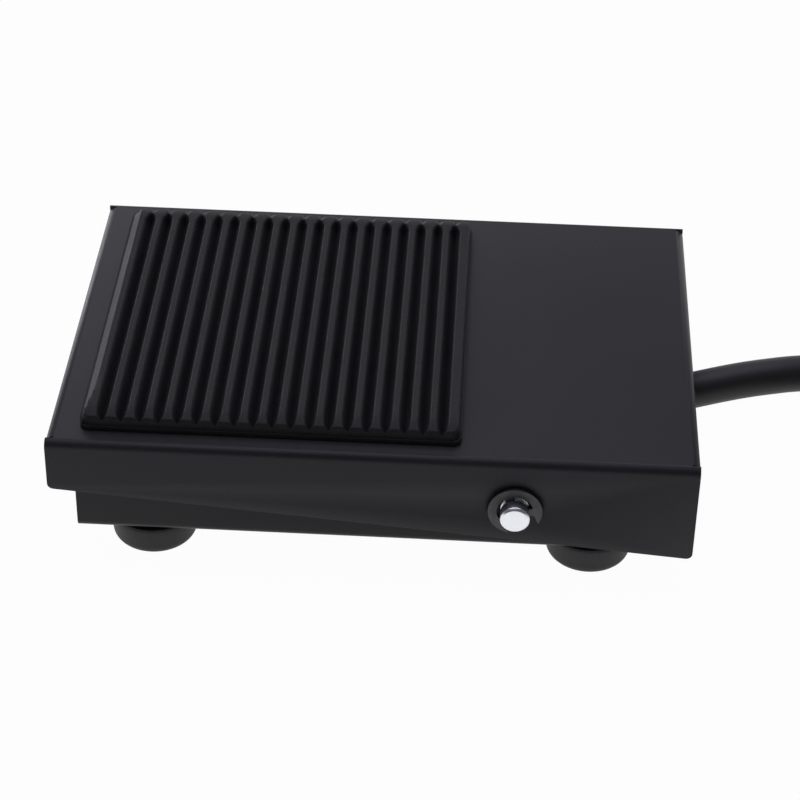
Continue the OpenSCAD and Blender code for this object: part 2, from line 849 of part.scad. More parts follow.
module switch_case() {
    inside_length = case_length - 2 * case_wall;
    inside_height = case_height - 2 * case_wall;
    color([0.09, 0.09, 0.1])
        difference() {
            union() {
                difference() {
                    translate([case_toe, -case_back, case_bottom])
                        cube([case_length, case_width, case_height]);
                    translate([case_toe + case_wall, -case_back + case_wall, case_bottom + case_wall])
                        cube([inside_length, case_width, inside_height]);
                }
                at_case_screws(-case_back) {
                    cylinder(h = case_width, d = boss_diameter);
                    translate([-case_screw / 2, 0, 0])
                        cube([case_screw, case_screw_height - case_wall / 2, case_width]);
                }
                lever_ears();
            }
            at_case_screws(-case_back - over)
                cylinder(h = case_width + 2 * over, d = case_screw + 2 * hole_gap);
            translate([plunger_x, 0, case_inside - over])
                cylinder(h = case_wall + 2 * over, d = plunger_diameter + 2 * bearing_gap);
            for (x = tab_starts)
                translate([x - slot_gap, -case_back - over, tab_bottom - slot_gap])
                    cube([tab_width + 2 * slot_gap, case_wall + 2 * over, strip + 2 * slot_gap]);
        }
}

module switch_lid() {
    color([0.09, 0.09, 0.1])
        difference() {
            translate([case_toe, case_back, case_bottom])
                cube([case_length, case_wall, case_height]);
            at_case_screws(case_back - over)
                cylinder(h = case_wall + 2 * over, d = case_screw + 2 * hole_gap);
        }
}

module switch_plunger() {
    collar_top = case_inside - touch_gap;
    color([0.75, 0.12, 0.1])
        translate([plunger_x, 0, 0]) {
            translate([0, 0, plunger_bottom])
                cylinder(h = plunger_top - plunger_bottom, d = plunger_diameter);
            translate([0, 0, collar_top - collar_height])
                cylinder(h = collar_height, d = plunger_diameter + 2 * collar_width);
        }
}

module switch_lever() {
    color([0.78, 0.79, 0.8])
        translate([lever_x, 0, lever_z]) {
            rotate([90, 0, 0])
                cylinder(h = lever_width, d = barrel_diameter, center = true);
            rotate([90, 0, 0])
                cylinder(h = lever_width + 2 * trunnion_length, d = trunnion_diameter, center = true);
            rotate([0, lever_angle, 0])
                translate([-lever_length, -lever_width / 2, 0])
                    cube([lever_length, lever_width, lever_thickness]);
        }
}

module button(x, z, h) {
    translate([x, 0, z])
        cylinder(h = h, d = button_diameter);
}

module moving_contact() {
    color([0.8, 0.6, 0.35]) {
        translate([blade_pivot_x, -blade_width / 2, blade_top - blade])
            cube([contact_x + button_diameter / 2 - blade_pivot_x, blade_width, blade]);
        translate([blade_pivot_x, 0, blade_pivot_z])
            rotate([90, 0, 0])
                cylinder(h = blade_width, d = pivot_diameter, center = true);
        button(contact_x, rivet_bottom, rivet_top - rivet_bottom);
    }
}

// Tab outside the case and its strip on the case's floor
module terminal_tab(x) {
    translate([x, -case_back - tab_reach, tab_bottom])
        cube([tab_width, tab_reach + case_width / 2 + tab_width / 2, strip]);
}

module common_terminal() {
    color([0.85, 0.7, 0.35]) {
        terminal_tab(post_x);
        translate([post_x, -blade_width / 2, tab_bottom])
            cube([strip, blade_width, blade_top + strip / 2 - tab_bottom]);
    }
}

module open_terminal() {
    arm_z = lower_button_top - button_height - strip;
    arm_end = contact_x + button_diameter / 2;
    color([0.85, 0.7, 0.35]) {
        terminal_tab(open_tab_x);
        translate([case_x - strip / 2, -blade_width / 2, tab_bottom])
            cube([strip, blade_width, arm_z + strip - tab_bottom]);
        translate([case_x - strip / 2, -blade_width / 2, arm_z])
            cube([arm_end - case_x + strip / 2, blade_width, strip]);
        button(contact_x, arm_z + strip / 2, strip / 2 + button_height);
    }
}

module closed_terminal() {
    arm_z = upper_button_z + button_height;
    post = closed_tab_x + tab_width - strip;
    arm_start = contact_x - button_diameter / 2;
    color([0.85, 0.7, 0.35]) {
        terminal_tab(closed_tab_x);
        translate([post, -blade_width / 2, tab_bottom])
            cube([strip, blade_width, arm_z + strip - tab_bottom]);
        translate([arm_start, -blade_width / 2, arm_z])
            cube([post + strip - arm_start, blade_width, strip]);
        button(contact_x, upper_button_z, button_height + strip / 2);
    }
}

module wire_sleeves() {
    color([0.62, 0.62, 0.6])
        for (x = tab_starts)
            difference() {
                translate([x + (tab_width - sleeve_width) / 2, sleeve_end_y, tab_middle - sleeve_height / 2])
                    cube([sleeve_width, sleeve_length, sleeve_height]);
                translate([x - slot_gap, -case_back - tab_reach - slot_gap, tab_bottom - slot_gap])
                    cube([tab_width + 2 * slot_gap, tab_reach, strip + 2 * slot_gap]);
            }
}

// Bezier curve between two places, with its two handles
function bezier(a, b, c, d) = [for (i = [0 : wire_steps]) let (t = i / wire_steps)
    (1 - t) ^ 3 * a + 3 * t * (1 - t) ^ 2 * b + 3 * t ^ 2 * (1 - t) * c + t ^ 3 * d];

// Place of a core in the lead's section, square to a direction
function core_offset(way, angle) = let (h = unit(cross([0, 0, 1], way)))
    core_ring * (cos(angle) * h + sin(angle) * cross(way, h));

// Wire from the lead's inner end to the sleeve on a terminal
module wire(place, lane, x) {
    start = inner_end + core_offset(exit_way, core_places[place]);
    low = tray_floor + core_diameter / 2 + fit;
    y = -lane_start - lane * lane_pitch;
    turn = [x + wire_bend, y, low];
    join = [closed_tab_x + tab_width / 2 + wire_bend + lane * lane_pitch, y, low];
    rise = tab_middle - low;
    wire_lean = lean_share * (inner_end[0] - join[0] + lane * lane_pitch);
    lean = wire_lean + (1 - lane) * lane_pitch;
    handle = start - lean * exit_way;
    level = [handle[0], handle[1], max(low, handle[2])];
    curve = bezier(start, level, join + [wire_lean, 0, 0], join);
    straight = lane > 0 ? [turn] : [];
    bend = [for (i = [1 : arc_steps]) let (a = 90 * i / arc_steps)
        turn + [-wire_bend * sin(a), wire_bend * (1 - cos(a)), rise * i / arc_steps]];
    tube(concat(curve, straight, bend, [[x, sleeve_end_y, tab_middle]]), core_diameter / 2, 8, -exit_way, [0, 1, 0]);
}

module common_wire() {
    color([0.36, 0.2, 0.12])
        wire(0, 2, tab_starts[0] + tab_width / 2);
}

module open_wire() {
    color([0.1, 0.2, 0.55])
        wire(1, 1, tab_starts[1] + tab_width / 2);
}

module closed_wire() {
    color([0.08, 0.08, 0.09])
        wire(2, 0, tab_starts[2] + tab_width / 2);
}

module lead_grommet() {
    bore = lead_diameter + 2 * lead_fit;
    color([0.08, 0.08, 0.09])
        difference() {
            translate([grommet_x - grommet_length / 2, grommet_middle[1], grommet_middle[2]])
                rotate([0, 90, 0]) {
                    cylinder(h = grommet_rim_height, d = grommet_rim);
                    cylinder(h = grommet_length, d = grommet_neck);
                    translate([0, 0, grommet_length - grommet_rim_height])
                        cylinder(h = grommet_rim_height, d = grommet_rim);
                }
            along(grommet_middle - 2 * grommet_length * exit_way, exit_way)
                cylinder(h = 4 * grommet_length, d = bore);
        }
}

module at_saddle_screws(z) {
    for (s = [-1, 1])
        translate([saddle_middle[0], saddle_middle[1] + s * saddle_screw_pitch / 2, z])
            children();
}

module lead_clamp() {
    height = saddle_middle[2] + saddle_radius - tray_floor;
    color([0.78, 0.78, 0.75])
        difference() {
            translate([saddle_middle[0] - saddle_length / 2, saddle_middle[1], tray_floor]) {
                translate([0, -saddle_width / 2, 0])
                    cube([saddle_length, saddle_width, saddle_foot]);
                intersection() {
                    translate([0, -saddle_radius, 0])
                        cube([saddle_length, 2 * saddle_radius, height]);
                    union() {
                        translate([0, -saddle_radius, 0])
                            cube([saddle_length, 2 * saddle_radius, height - saddle_radius]);
                        translate([0, 0, height - saddle_radius])
                            rotate([0, 90, 0])
                                cylinder(h = saddle_length, r = saddle_radius);
                    }
                }
            }
            along(saddle_middle - saddle_length * exit_way, exit_way)
                cylinder(h = 2 * saddle_length, d = lead_diameter + 2 * lead_fit);
            at_saddle_screws(tray_floor - over)
                cylinder(h = saddle_foot + 2 * over, d = saddle_screw + 2 * hole_gap);
        }
}

module clamp_screws() {
    low = tray_bottom - thread_overhang;
    high = tray_floor + saddle_foot;
    color([0.78, 0.79, 0.8])
        at_saddle_screws(low)
            difference() {
                union() {
                    cylinder(h = high - low, d = saddle_screw);
                    translate([0, 0, high - low])
                        cylinder(h = saddle_head_height, d = saddle_head);
                }
                translate([0, 0, high - low + saddle_head_height])
                    mirror([0, 0, 1])
                        cross_slot(saddle_head, saddle_head_height / 2);
            }
}

module inner_lead() {
    color([0.11, 0.11, 0.12])
        along(inner_end, exit_way)
            cylinder(h = inner_length, r = lead_radius);
}

module lead() {
    color([0.11, 0.11, 0.12])
        tube(lead_route, lead_radius, lead_sides, exit_way, [1, 0, 0]);
}

// Coil: in along the floor, up in the half turn where the spiral reverses, and out on top
function coil_radius(t) = coil_outer - coil_pitch * (coil_turns / 2 - abs(t - coil_turns / 2));
function climb(t) = let (u = (t - coil_turns / 2) / (2 * climb_share) + 0.5, v = max(0, min(1, u)))
    v * v * (3 - 2 * v);
function tie_bump(t) = let (a = quarter - 360 * t - tie_angle, d = a - 360 * round(a / 360))
    tie_lift * exp(-(d / tie_spread) ^ 2);
function coil_point(t) = let (a = quarter - 360 * t)
    [coil_centre[0] + coil_radius(t) * cos(a), coil_centre[1] + coil_radius(t) * sin(a),
        lead_radius + coil_lift * climb(t) + tie_bump(t)];
coil_end = coil_point(coil_turns) + [lead_diameter, 0, 0];
coil_route = concat([lead_end], [for (i = [0 : coil_rings * coil_turns]) coil_point(i / coil_rings)],
    [coil_end]);

module lead_coil() {
    count = len(coil_route);
    gaps = [for (i = [0 : count - 1]) for (j = [i + coil_rings / 2 : 1 : count - 1])
        norm(coil_route[j] - coil_route[i])];
    echo(coil_gap = min(gaps) - lead_diameter);
    color([0.11, 0.11, 0.12])
        tube(coil_route, lead_radius, coil_sides, [1, 0, 0], [1, 0, 0]);
}

module tie_section(gap) {
    first = (quarter - tie_angle + 360) / 360;
    hull()
        for (i = [0 : coil_turns - 1]) {
            t = first + i;
            translate([coil_radius(t), coil_point(t)[2]])
                circle(lead_radius + gap, $fn = 32);
        }
}

module lead_tie() {
    color([0.05, 0.05, 0.06])
        translate([coil_centre[0], coil_centre[1], 0])
            rotate([90, 0, tie_angle])
                linear_extrude(tie_width, center = true)
                    difference() {
                        tie_section(tie_gap + tie_thickness);
                        tie_section(tie_gap);
                    }
}

// Core that runs out of the lead's free end and lies along the turn below
function core_route(place, from, to) = let (angle = core_places[place])
    [for (i = [0 : arc_steps]) let (s = from + (to - from) * i / arc_steps,
        a = 180 / PI * s / core_bend, w = min(1, s / core_bend * 2),
        middle = coil_end + [core_bend * sin(a), core_bend * (cos(a) - 1), -core_sink * w * w * (3 - 2 * w)])
        middle + core_offset([cos(a), -sin(a), 0], angle)];
function core_way(s) = let (a = 180 / PI * s / core_bend) [cos(a), -sin(a), 0];

module core(place, from, to, d) {
    tube(core_route(place, from, to), d / 2, 8, core_way(from), core_way(to));
}

module brown_core() {
    color([0.36, 0.2, 0.12])
        core(0, 0, core_length - bare_length, core_diameter);
}

module blue_core() {
    color([0.1, 0.2, 0.55])
        core(1, 0, core_length - bare_length, core_diameter);
}

module black_core() {
    color([0.08, 0.08, 0.09])
        core(2, 0, core_length - bare_length, core_diameter);
}

module bare_strands() {
    color([0.8, 0.6, 0.4])
        for (place = [0 : 2])
            core(place, core_length - bare_length, core_length, bare_diameter);
}

pedal_cover();
tread_pad();
spring_peg();
striker_block();
base_tray();
hinge_pin();
retaining_clips();
return_spring();
spring_seat();
foot_front_toe();
foot_front_lead();
foot_rear_toe();
foot_rear_lead();
foot_screws();
foot_washers();
foot_nuts();
switch_bracket();
bracket_rivets();
switch_screws();
switch_nuts();
switch_case();
switch_lid();
switch_plunger();
switch_lever();
moving_contact();
common_terminal();
open_terminal();
closed_terminal();
wire_sleeves();
common_wire();
open_wire();
closed_wire();
lead_grommet();
lead_clamp();
clamp_screws();
inner_lead();
lead();
lead_coil();
lead_tie();
brown_core();
blue_core();
black_core();
bare_strands();
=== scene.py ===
"""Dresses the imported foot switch: painted steel, rubber, lead and inner parts, and the stage."""
import json
import math

import bpy
from bpy.props import FloatProperty, FloatVectorProperty, IntProperty, PointerProperty
from mathutils import Matrix, Vector

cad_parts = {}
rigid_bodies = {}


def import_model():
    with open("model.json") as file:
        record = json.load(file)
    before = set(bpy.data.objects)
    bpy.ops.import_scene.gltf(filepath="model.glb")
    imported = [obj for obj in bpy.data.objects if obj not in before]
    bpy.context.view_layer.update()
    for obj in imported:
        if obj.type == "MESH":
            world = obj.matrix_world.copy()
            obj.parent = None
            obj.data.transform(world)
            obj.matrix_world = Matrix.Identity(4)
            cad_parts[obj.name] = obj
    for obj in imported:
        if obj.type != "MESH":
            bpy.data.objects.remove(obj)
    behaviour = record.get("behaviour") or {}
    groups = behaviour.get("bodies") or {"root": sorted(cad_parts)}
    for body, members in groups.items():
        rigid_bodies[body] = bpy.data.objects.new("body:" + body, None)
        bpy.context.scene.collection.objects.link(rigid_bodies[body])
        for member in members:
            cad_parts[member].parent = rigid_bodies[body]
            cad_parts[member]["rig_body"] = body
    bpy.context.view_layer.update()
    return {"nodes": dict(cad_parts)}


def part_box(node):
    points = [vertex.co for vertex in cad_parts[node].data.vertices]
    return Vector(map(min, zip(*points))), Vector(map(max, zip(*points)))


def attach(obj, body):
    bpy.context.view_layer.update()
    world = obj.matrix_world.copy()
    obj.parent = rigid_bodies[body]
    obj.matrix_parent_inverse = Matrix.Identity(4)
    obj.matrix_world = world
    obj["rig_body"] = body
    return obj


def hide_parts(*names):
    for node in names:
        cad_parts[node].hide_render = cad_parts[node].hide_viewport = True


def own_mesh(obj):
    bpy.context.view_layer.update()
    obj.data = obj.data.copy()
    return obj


bl_info = {
    "name": "Foot switch",
    "version": (1, 0, 0),
    "blender": (4, 5, 0),
    "location": "View3D > Sidebar > Foot switch",
    "description": "Dresses the foot switch's packed frame and sets up its stage",
    "category": "Object",
}

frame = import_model()
NODES = frame["nodes"]
MM = 0.001
# Tint of the lamps and of the upper sky
COOL = (0.93, 0.90, 1.04)
# Middle of the hinge pin, in metres
PIN_CENTRE = (0.0211181, 0.0, 0.0147)


# Materials

class Value:
    """One value of a material, with the usual signs of arithmetic."""

    def __init__(self, finish, socket):
        self.finish = finish
        self.socket = socket

    def result_of(self, operation, *terms):
        return self.finish.node("ShaderNodeMath", {"operation": operation}, dict(enumerate(terms)))

    def __add__(self, other):
        return self.result_of("ADD", self, other)

    __radd__ = __add__

    def __sub__(self, other):
        return self.result_of("SUBTRACT", self, other)

    def __rsub__(self, other):
        return self.result_of("SUBTRACT", other, self)

    def __mul__(self, other):
        return self.result_of("MULTIPLY", self, other)

    __rmul__ = __mul__

    def __truediv__(self, other):
        return self.result_of("DIVIDE", self, other)

    def __rtruediv__(self, other):
        return self.result_of("DIVIDE", other, self)

    def __pow__(self, other):
        return self.result_of("POWER", self, other)

    def __rpow__(self, other):
        return self.result_of("POWER", other, self)

    def within(self):
        """The value held between 0 and 1."""
        return self.result_of("MINIMUM", self.result_of("MAXIMUM", self, 0.0), 1.0)

    def largest(self, other):
        return self.result_of("MAXIMUM", self, other)

    def root(self):
        return self.result_of("SQRT", self)

    def sine(self):
        return self.result_of("SINE", self)

    def turn(self, other):
        """The angle whose tangent is this value over the other."""
        return self.result_of("ARCTAN2", self, other)


class Finish:
    """A node tree and the one method that adds nodes to it."""

    def __init__(self, tree):
        self.tree = tree

    def node(self, kind, settings=None, inputs=None, out=0):
        made = self.tree.nodes.new(kind)
        for key, value in (settings or {}).items():
            if key == "stops":
                ramp = made.color_ramp.elements
                while len(ramp) < len(value):
                    ramp.new(0.5)
                for stop, (place, level) in zip(ramp, value):
                    stop.position = place
                    stop.color = (level, level, level, 1.0)
            else:
                setattr(made, key, value)
        for key, value in (inputs or {}).items():
            self.put(made.inputs[key], value)
        return Value(self, made.outputs[out])

    def put(self, socket, value):
        """Links a value to a socket or sets it there, with full alpha where a colour is due."""
        if isinstance(value, Value):
            self.tree.links.new(value.socket, socket)
            return
        held = socket.default_value
        is_colour = hasattr(held, "__len__") and len(held) == 4 and len(value) == 3
        socket.default_value = (*value, 1.0) if is_colour else value

    def place(self):
        return self.node("ShaderNodeTexCoord", out="Object")

    def parts(self, vector):
        found = self.node("ShaderNodeSeparateXYZ", inputs={0: vector})
        return [Value(self, s) for s in found.socket.node.outputs]

    def stretched(self, scale, turn=(0.0, 0.0, 0.0), centre=(0.0, 0.0, 0.0)):
        """Object coordinates moved to a centre, turned and stretched."""
        inputs = {0: self.place(), 1: centre}
        moved = self.node("ShaderNodeVectorMath", {"operation": "SUBTRACT"}, inputs)
        inputs = {0: moved, 2: turn, 3: scale}
        return self.node("ShaderNodeMapping", {"vector_type": "POINT"}, inputs)

    def noise(self, scale, detail=2.0, rough=0.5, place=None):
        inputs = {"Vector": place or self.place(), "Scale": scale, "Detail": detail,
                  "Roughness": rough}
        return self.node("ShaderNodeTexNoise", {"noise_dimensions": "3D"}, inputs)

    def ramp(self, value, *stops):
        return self.node("ShaderNodeValToRGB", {"stops": stops}, {0: value}, out="Color")

    def level(self, value, *stops):
        """A ramp's level as a plain value."""
        ramped = self.ramp(value, *stops)
        return self.node("ShaderNodeRGBToBW", inputs={0: ramped})

    def mixed(self, share, first, second):
        inputs = {0: share, 6: first, 7: second}
        return self.node("ShaderNodeMix", {"data_type": "RGBA"}, inputs, out=2)


class Surface(Finish):
    """A material around one Principled shader."""

    def __init__(self, name, **constants):
        self.material = bpy.data.materials.new(name)
        self.material.use_nodes = True
        super().__init__(self.material.node_tree)
        self.shader = self.tree.nodes["Principled BSDF"]
        for key, value in constants.items():
            self.put(self.shader.inputs[key.replace("_", " ")], value)

    def colour(self, value):
        self.put(self.shader.inputs["Base Color"], value)

    def rough(self, value):
        self.put(self.shader.inputs["Roughness"], value)

    def raised(self, height, distance, strength):
        inputs = {"Height": height, "Distance": distance, "Strength": strength}
        bump = self.node("ShaderNodeBump", inputs=inputs, out="Normal")
        self.put(self.shader.inputs["Normal"], bump)


def scaled(colour, share):
    return tuple(share * c for c in colour)


def powder_paint(name, colour):
    """Satin powder coat: fine orange peel, faint clouds and a sparse pale grit."""
    s = Surface(name, IOR=1.45, Specular_IOR_Level=0.28)
    peel = s.noise(scale=1500.0, detail=3.0, rough=0.55)
    fine = s.noise(scale=6500.0, detail=2.0, rough=0.6)
    clouds = s.noise(scale=38.0, detail=3.0, rough=0.55)
    specks = s.noise(scale=4200.0, detail=1.0, rough=0.4)
    grit = s.level(specks, (0.0, 0.0), (0.70, 0.0), (0.78, 1.0))
    cloudy = s.level(clouds, (0.3, 0.0), (0.7, 1.0))
    base = s.mixed(cloudy, scaled(colour, 0.86), scaled(colour, 1.14))
    s.colour(s.mixed(grit * 0.5, base, scaled(colour, 2.6)))
    s.rough((0.36 + clouds * 0.08 + fine * 0.08).within())
    s.raised(peel * 0.7 + fine * 0.3, distance=0.00003, strength=0.45)
    return s.material


def rubber(name, colour, grain, specular=0.30):
    """Moulded rubber: matt, with a sandy grain, pale dust and worn patches."""
    s = Surface(name, IOR=1.5, Specular_IOR_Level=specular)
    sand = s.noise(scale=2300.0, detail=3.0, rough=0.65)
    coarse = s.noise(scale=700.0, detail=2.0, rough=0.5)
    specks = s.noise(scale=5200.0, detail=2.0, rough=0.6)
    dust = s.level(specks, (0.0, 0.0), (0.60, 0.0), (0.74, 1.0))
    patches = s.noise(scale=120.0, detail=3.0, rough=0.6)
    worn = s.level(patches, (0.3, 0.0), (0.7, 1.0))
    base = s.mixed(worn, scaled(colour, 0.8), scaled(colour, 1.25))
    s.colour(s.mixed(dust * 0.4, base, scaled(colour, 3.2)))
    s.rough((0.50 + patches * 0.12 + sand * 0.12).within())
    s.raised(sand * 0.7 + coarse * 0.3, distance=grain, strength=0.8)
    return s.material


def turned_steel(name, colour, centre):
    """Bright turned steel: fine rings round its axis, which lies along Y, with small marks."""
    s = Surface(name, Metallic=1.0)
    x, _, z = s.parts(s.stretched((1.0, 1.0, 1.0), centre=centre))
    radius = (x * x + z * z).root()
    ring_rate = 42000.0
    rings = (radius * ring_rate).sine() * 0.5 + 0.5
    marks = s.noise(scale=900.0, detail=3.0, rough=0.6)
    s.colour(s.mixed(marks * 0.6, colour, scaled(colour, 0.82)))
    s.rough((0.22 + rings * 0.10 + marks * 0.14).within())
    s.raised(rings * 0.5 + marks * 0.5, distance=0.000008, strength=0.5)
    return s.material


def plated_steel(name, colour, rough, spangle=260.0):
    """Plated steel: soft spangle, light scratches and a little dulling."""
    s = Surface(name, Metallic=1.0)
    inputs = {"Vector": s.place(), "Scale": spangle}
    cells = s.node("ShaderNodeTexVoronoi", {"feature": "F1"}, inputs, out="Color")
    tone = s.node("ShaderNodeRGBToBW", inputs={0: cells})
    drawn = s.stretched((220.0, 4200.0, 2600.0), turn=(0.2, 0.1, 0.4))
    scratches = s.noise(scale=1.0, detail=2.0, rough=0.6, place=drawn)
    dull = s.noise(scale=180.0, detail=3.0, rough=0.6)
    s.colour(s.mixed((tone * 0.5 + dull * 0.4).within(), colour, scaled(colour, 0.78)))
    s.rough((rough + tone * 0.10 + scratches * 0.12).within())
    s.raised(scratches * 0.6 + tone * 0.2, distance=0.000012, strength=0.35)
    return s.material


def moulded(name, colour, rough, grain=2600.0):
    """Moulded plastic: faint flow marks and a fine matt grain."""
    s = Surface(name, IOR=1.46)
    fine = s.noise(scale=grain, detail=2.0, rough=0.55)
    filled = s.stretched((60.0, 190.0, 300.0), turn=(0.3, 0.2, 0.1))
    flow = s.noise(scale=1.0, detail=3.0, rough=0.6, place=filled)
    streaks = s.level(flow, (0.35, 0.0), (0.65, 1.0))
    s.colour(s.mixed(streaks, scaled(colour, 0.88), scaled(colour, 1.12)))
    s.rough((rough + fine * 0.10 + flow * 0.06).within())
    s.raised(fine * 0.7 + flow * 0.3, distance=0.00001, strength=0.4)
    return s.material


def strip_metal(name, colour, rough):
    """Rolled spring strip or contact metal: grain along the roll and faint tarnish."""
    s = Surface(name, Metallic=1.0)
    roll = s.noise(scale=1.0, detail=2.0, rough=0.5, place=s.stretched((120.0, 5200.0, 5200.0)))
    tarnish = s.noise(scale=260.0, detail=4.0, rough=0.6)
    s.colour(s.mixed(s.level(tarnish, (0.4, 0.0), (0.75, 1.0)), colour, scaled(colour, 0.7)))
    s.rough((rough + roll * 0.12 + tarnish * 0.08).within())
    s.raised(roll, distance=0.000006, strength=0.4)
    return s.material


class Finishes:
    """The object's materials, made once each."""

    def __init__(self, p):
        self.cover = powder_paint("cover powder coat", tuple(p.paint_colour))
        self.tray = powder_paint("tray powder coat", scaled(p.paint_colour, 0.9))
        self.tread = rubber("tread rubber", tuple(p.rubber_colour), grain=0.00016)
        self.foot = rubber("foot rubber", scaled(p.rubber_colour, 2.6), grain=0.00004, specular=0.5)
        self.grommet = rubber("grommet rubber", scaled(p.rubber_colour, 0.7), grain=0.00003)
        self.pin = turned_steel("pin steel", (0.90, 0.92, 0.96), PIN_CENTRE)
        self.clip = plated_steel("phosphated clip", (0.080, 0.080, 0.083), rough=0.42,
                                 spangle=900.0)
        self.zinc = plated_steel("zinc plate", (0.62, 0.64, 0.67), rough=0.28)
        self.spring = strip_metal("spring wire", (0.50, 0.51, 0.53), rough=0.25)
        self.strip = strip_metal("spring strip", (0.62, 0.63, 0.64), rough=0.24)
        self.brass = strip_metal("contact brass", (0.78, 0.58, 0.28), rough=0.24)
        self.copper = strip_metal("tinned copper strand", (0.80, 0.56, 0.42), rough=0.3)
        self.case = moulded("switch case plastic", (0.013, 0.013, 0.014), rough=0.42)
        self.plunger = moulded("plunger plastic", (0.45, 0.016, 0.012), rough=0.32)
        self.seat = moulded("spring seat plastic", (0.62, 0.61, 0.56), rough=0.4)
        self.clamp = moulded("clamp plastic", (0.60, 0.59, 0.55), rough=0.45)
        self.sleeve = moulded("sleeve plastic", (0.42, 0.42, 0.38), rough=0.35)
        self.tie = moulded("tie plastic", (0.012, 0.012, 0.013), rough=0.38)
        self.jacket = moulded("lead jacket", tuple(p.lead_colour), rough=0.42, grain=1500.0)
        self.brown = moulded("brown core", (0.13, 0.045, 0.018), rough=0.32)
        self.blue = moulded("blue core", (0.012, 0.07, 0.30), rough=0.32)
        self.black = moulded("black core", (0.010, 0.010, 0.011), rough=0.32)


MADE = {}


def finishes(context):
    """The materials, made at their first use."""
    if "finishes" not in MADE:
        MADE["finishes"] = Finishes(context.scene.foot_switch)
    return MADE["finishes"]


# Modelling helpers

def fresh():
    """Deselects everything and leaves edit mode."""
    if bpy.context.object and bpy.context.object.mode != "OBJECT":
        bpy.ops.object.mode_set(mode="OBJECT")
    bpy.ops.object.select_all(action="DESELECT")


def chosen(piece):
    fresh()
    piece.select_set(True)
    bpy.context.view_layer.objects.active = piece
    return piece


def edit(piece, *steps):
    """Runs edit mode steps on all of a piece."""
    chosen(piece)
    bpy.ops.object.mode_set(mode="EDIT")
    bpy.ops.mesh.select_all(action="SELECT")
    for step in steps:
        step()
    bpy.ops.object.mode_set(mode="OBJECT")


def settled(piece, name, finish, angle=35.0):
    """Names a new piece, puts its place into its mesh and smooths its curved faces."""
    chosen(piece)
    bpy.ops.object.transform_apply(location=True, rotation=True, scale=True)
    piece.name = name
    piece.data.name = name
    piece.data.materials.clear()
    piece.data.materials.append(finish)
    bpy.ops.object.shade_smooth_by_angle(angle=math.radians(angle))
    return piece


def joined(pieces):
    chosen(pieces[0])
    for piece in pieces[1:]:
        piece.select_set(True)
    bpy.ops.object.join()
    return bpy.context.object


def stands_for(piece, body, slot, *nodes):
    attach(piece, body)
    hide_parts(*nodes)
    return piece


def rounded(piece, radius, segments, angle=30.0):
    """Rounds a piece's sharp edges."""
    bevel = piece.modifiers.new("round edges", "BEVEL")
    bevel.width = radius
    bevel.segments = segments
    bevel.limit_method = "ANGLE"
    bevel.angle_limit = math.radians(angle)
    bevel.use_clamp_overlap = True
    chosen(piece)
    bpy.ops.object.modifier_apply(modifier=bevel.name)


def softened(node, finish, body, slot, radius, segments=2):
    """A copy of a CAD node with its sharp edges rounded."""
    piece = bpy.data.objects.new(node + "_soft", NODES[node].data.copy())
    bpy.context.scene.collection.objects.link(piece)
    edit(piece, lambda: bpy.ops.mesh.remove_doubles(threshold=0.000002),
         lambda: bpy.ops.mesh.dissolve_limited(angle_limit=math.radians(0.6)))
    rounded(piece, radius, segments)
    settled(piece, node + "_soft", finish)
    return stands_for(piece, body, slot, node)


def turned(profile, steps):
    """A solid spun from a closed outline of radius and height, in millimetres."""
    fresh()
    bpy.ops.mesh.primitive_circle_add(vertices=len(profile), radius=1.0, location=(0, 0, 0))
    piece = bpy.context.object
    for vertex, (radius, height) in zip(piece.data.vertices, profile):
        vertex.co = (radius * MM, 0.0, height * MM)
    whole = {"angle": 2 * math.pi, "center": (0, 0, 0), "axis": (0, 0, 1)}
    edit(piece, lambda: bpy.ops.mesh.spin(steps=steps, **whole),
         lambda: bpy.ops.mesh.select_all(action="SELECT"),
         lambda: bpy.ops.mesh.remove_doubles(threshold=0.000001),
         lambda: bpy.ops.mesh.dissolve_degenerate(threshold=0.0000005),
         lambda: bpy.ops.mesh.delete_loose(),
         lambda: bpy.ops.mesh.select_all(action="SELECT"),
         lambda: bpy.ops.mesh.normals_make_consistent(inside=False))
    return piece


def copied(piece):
    copy = piece.copy()
    copy.data = piece.data.copy()
    bpy.context.scene.collection.objects.link(copy)
    return copy


def tube(name, routes, radius, finish, sides, mesh=True):
    """A round tube, or a bundle of them, along lists of points in millimetres."""
    fresh()
    bpy.ops.curve.primitive_bezier_curve_add(location=(0, 0, 0))
    piece = bpy.context.object
    curve = piece.data
    curve.dimensions = "3D"
    curve.splines.clear()
    for route in routes:
        spline = curve.splines.new("BEZIER")
        spline.bezier_points.add(len(route) - 1)
        for knot, point in zip(spline.bezier_points, route):
            knot.co = Vector(point) * MM
            knot.handle_left_type = knot.handle_right_type = "AUTO"
    curve.resolution_u = 6
    curve.bevel_depth = radius * MM
    curve.bevel_resolution = sides
    curve.use_fill_caps = True
    piece.name = name
    curve.name = name
    curve.materials.append(finish)
    for spline in curve.splines:
        spline.use_smooth = True
    if mesh:
        chosen(piece)
        bpy.ops.object.convert(target="MESH")
        piece = bpy.context.object
        edit(piece, lambda: bpy.ops.mesh.remove_doubles(threshold=0.0000005))
        bpy.ops.object.shade_smooth_by_angle(angle=math.radians(40.0))
    return piece


# The lead's route, as in the part's source, in millimetres

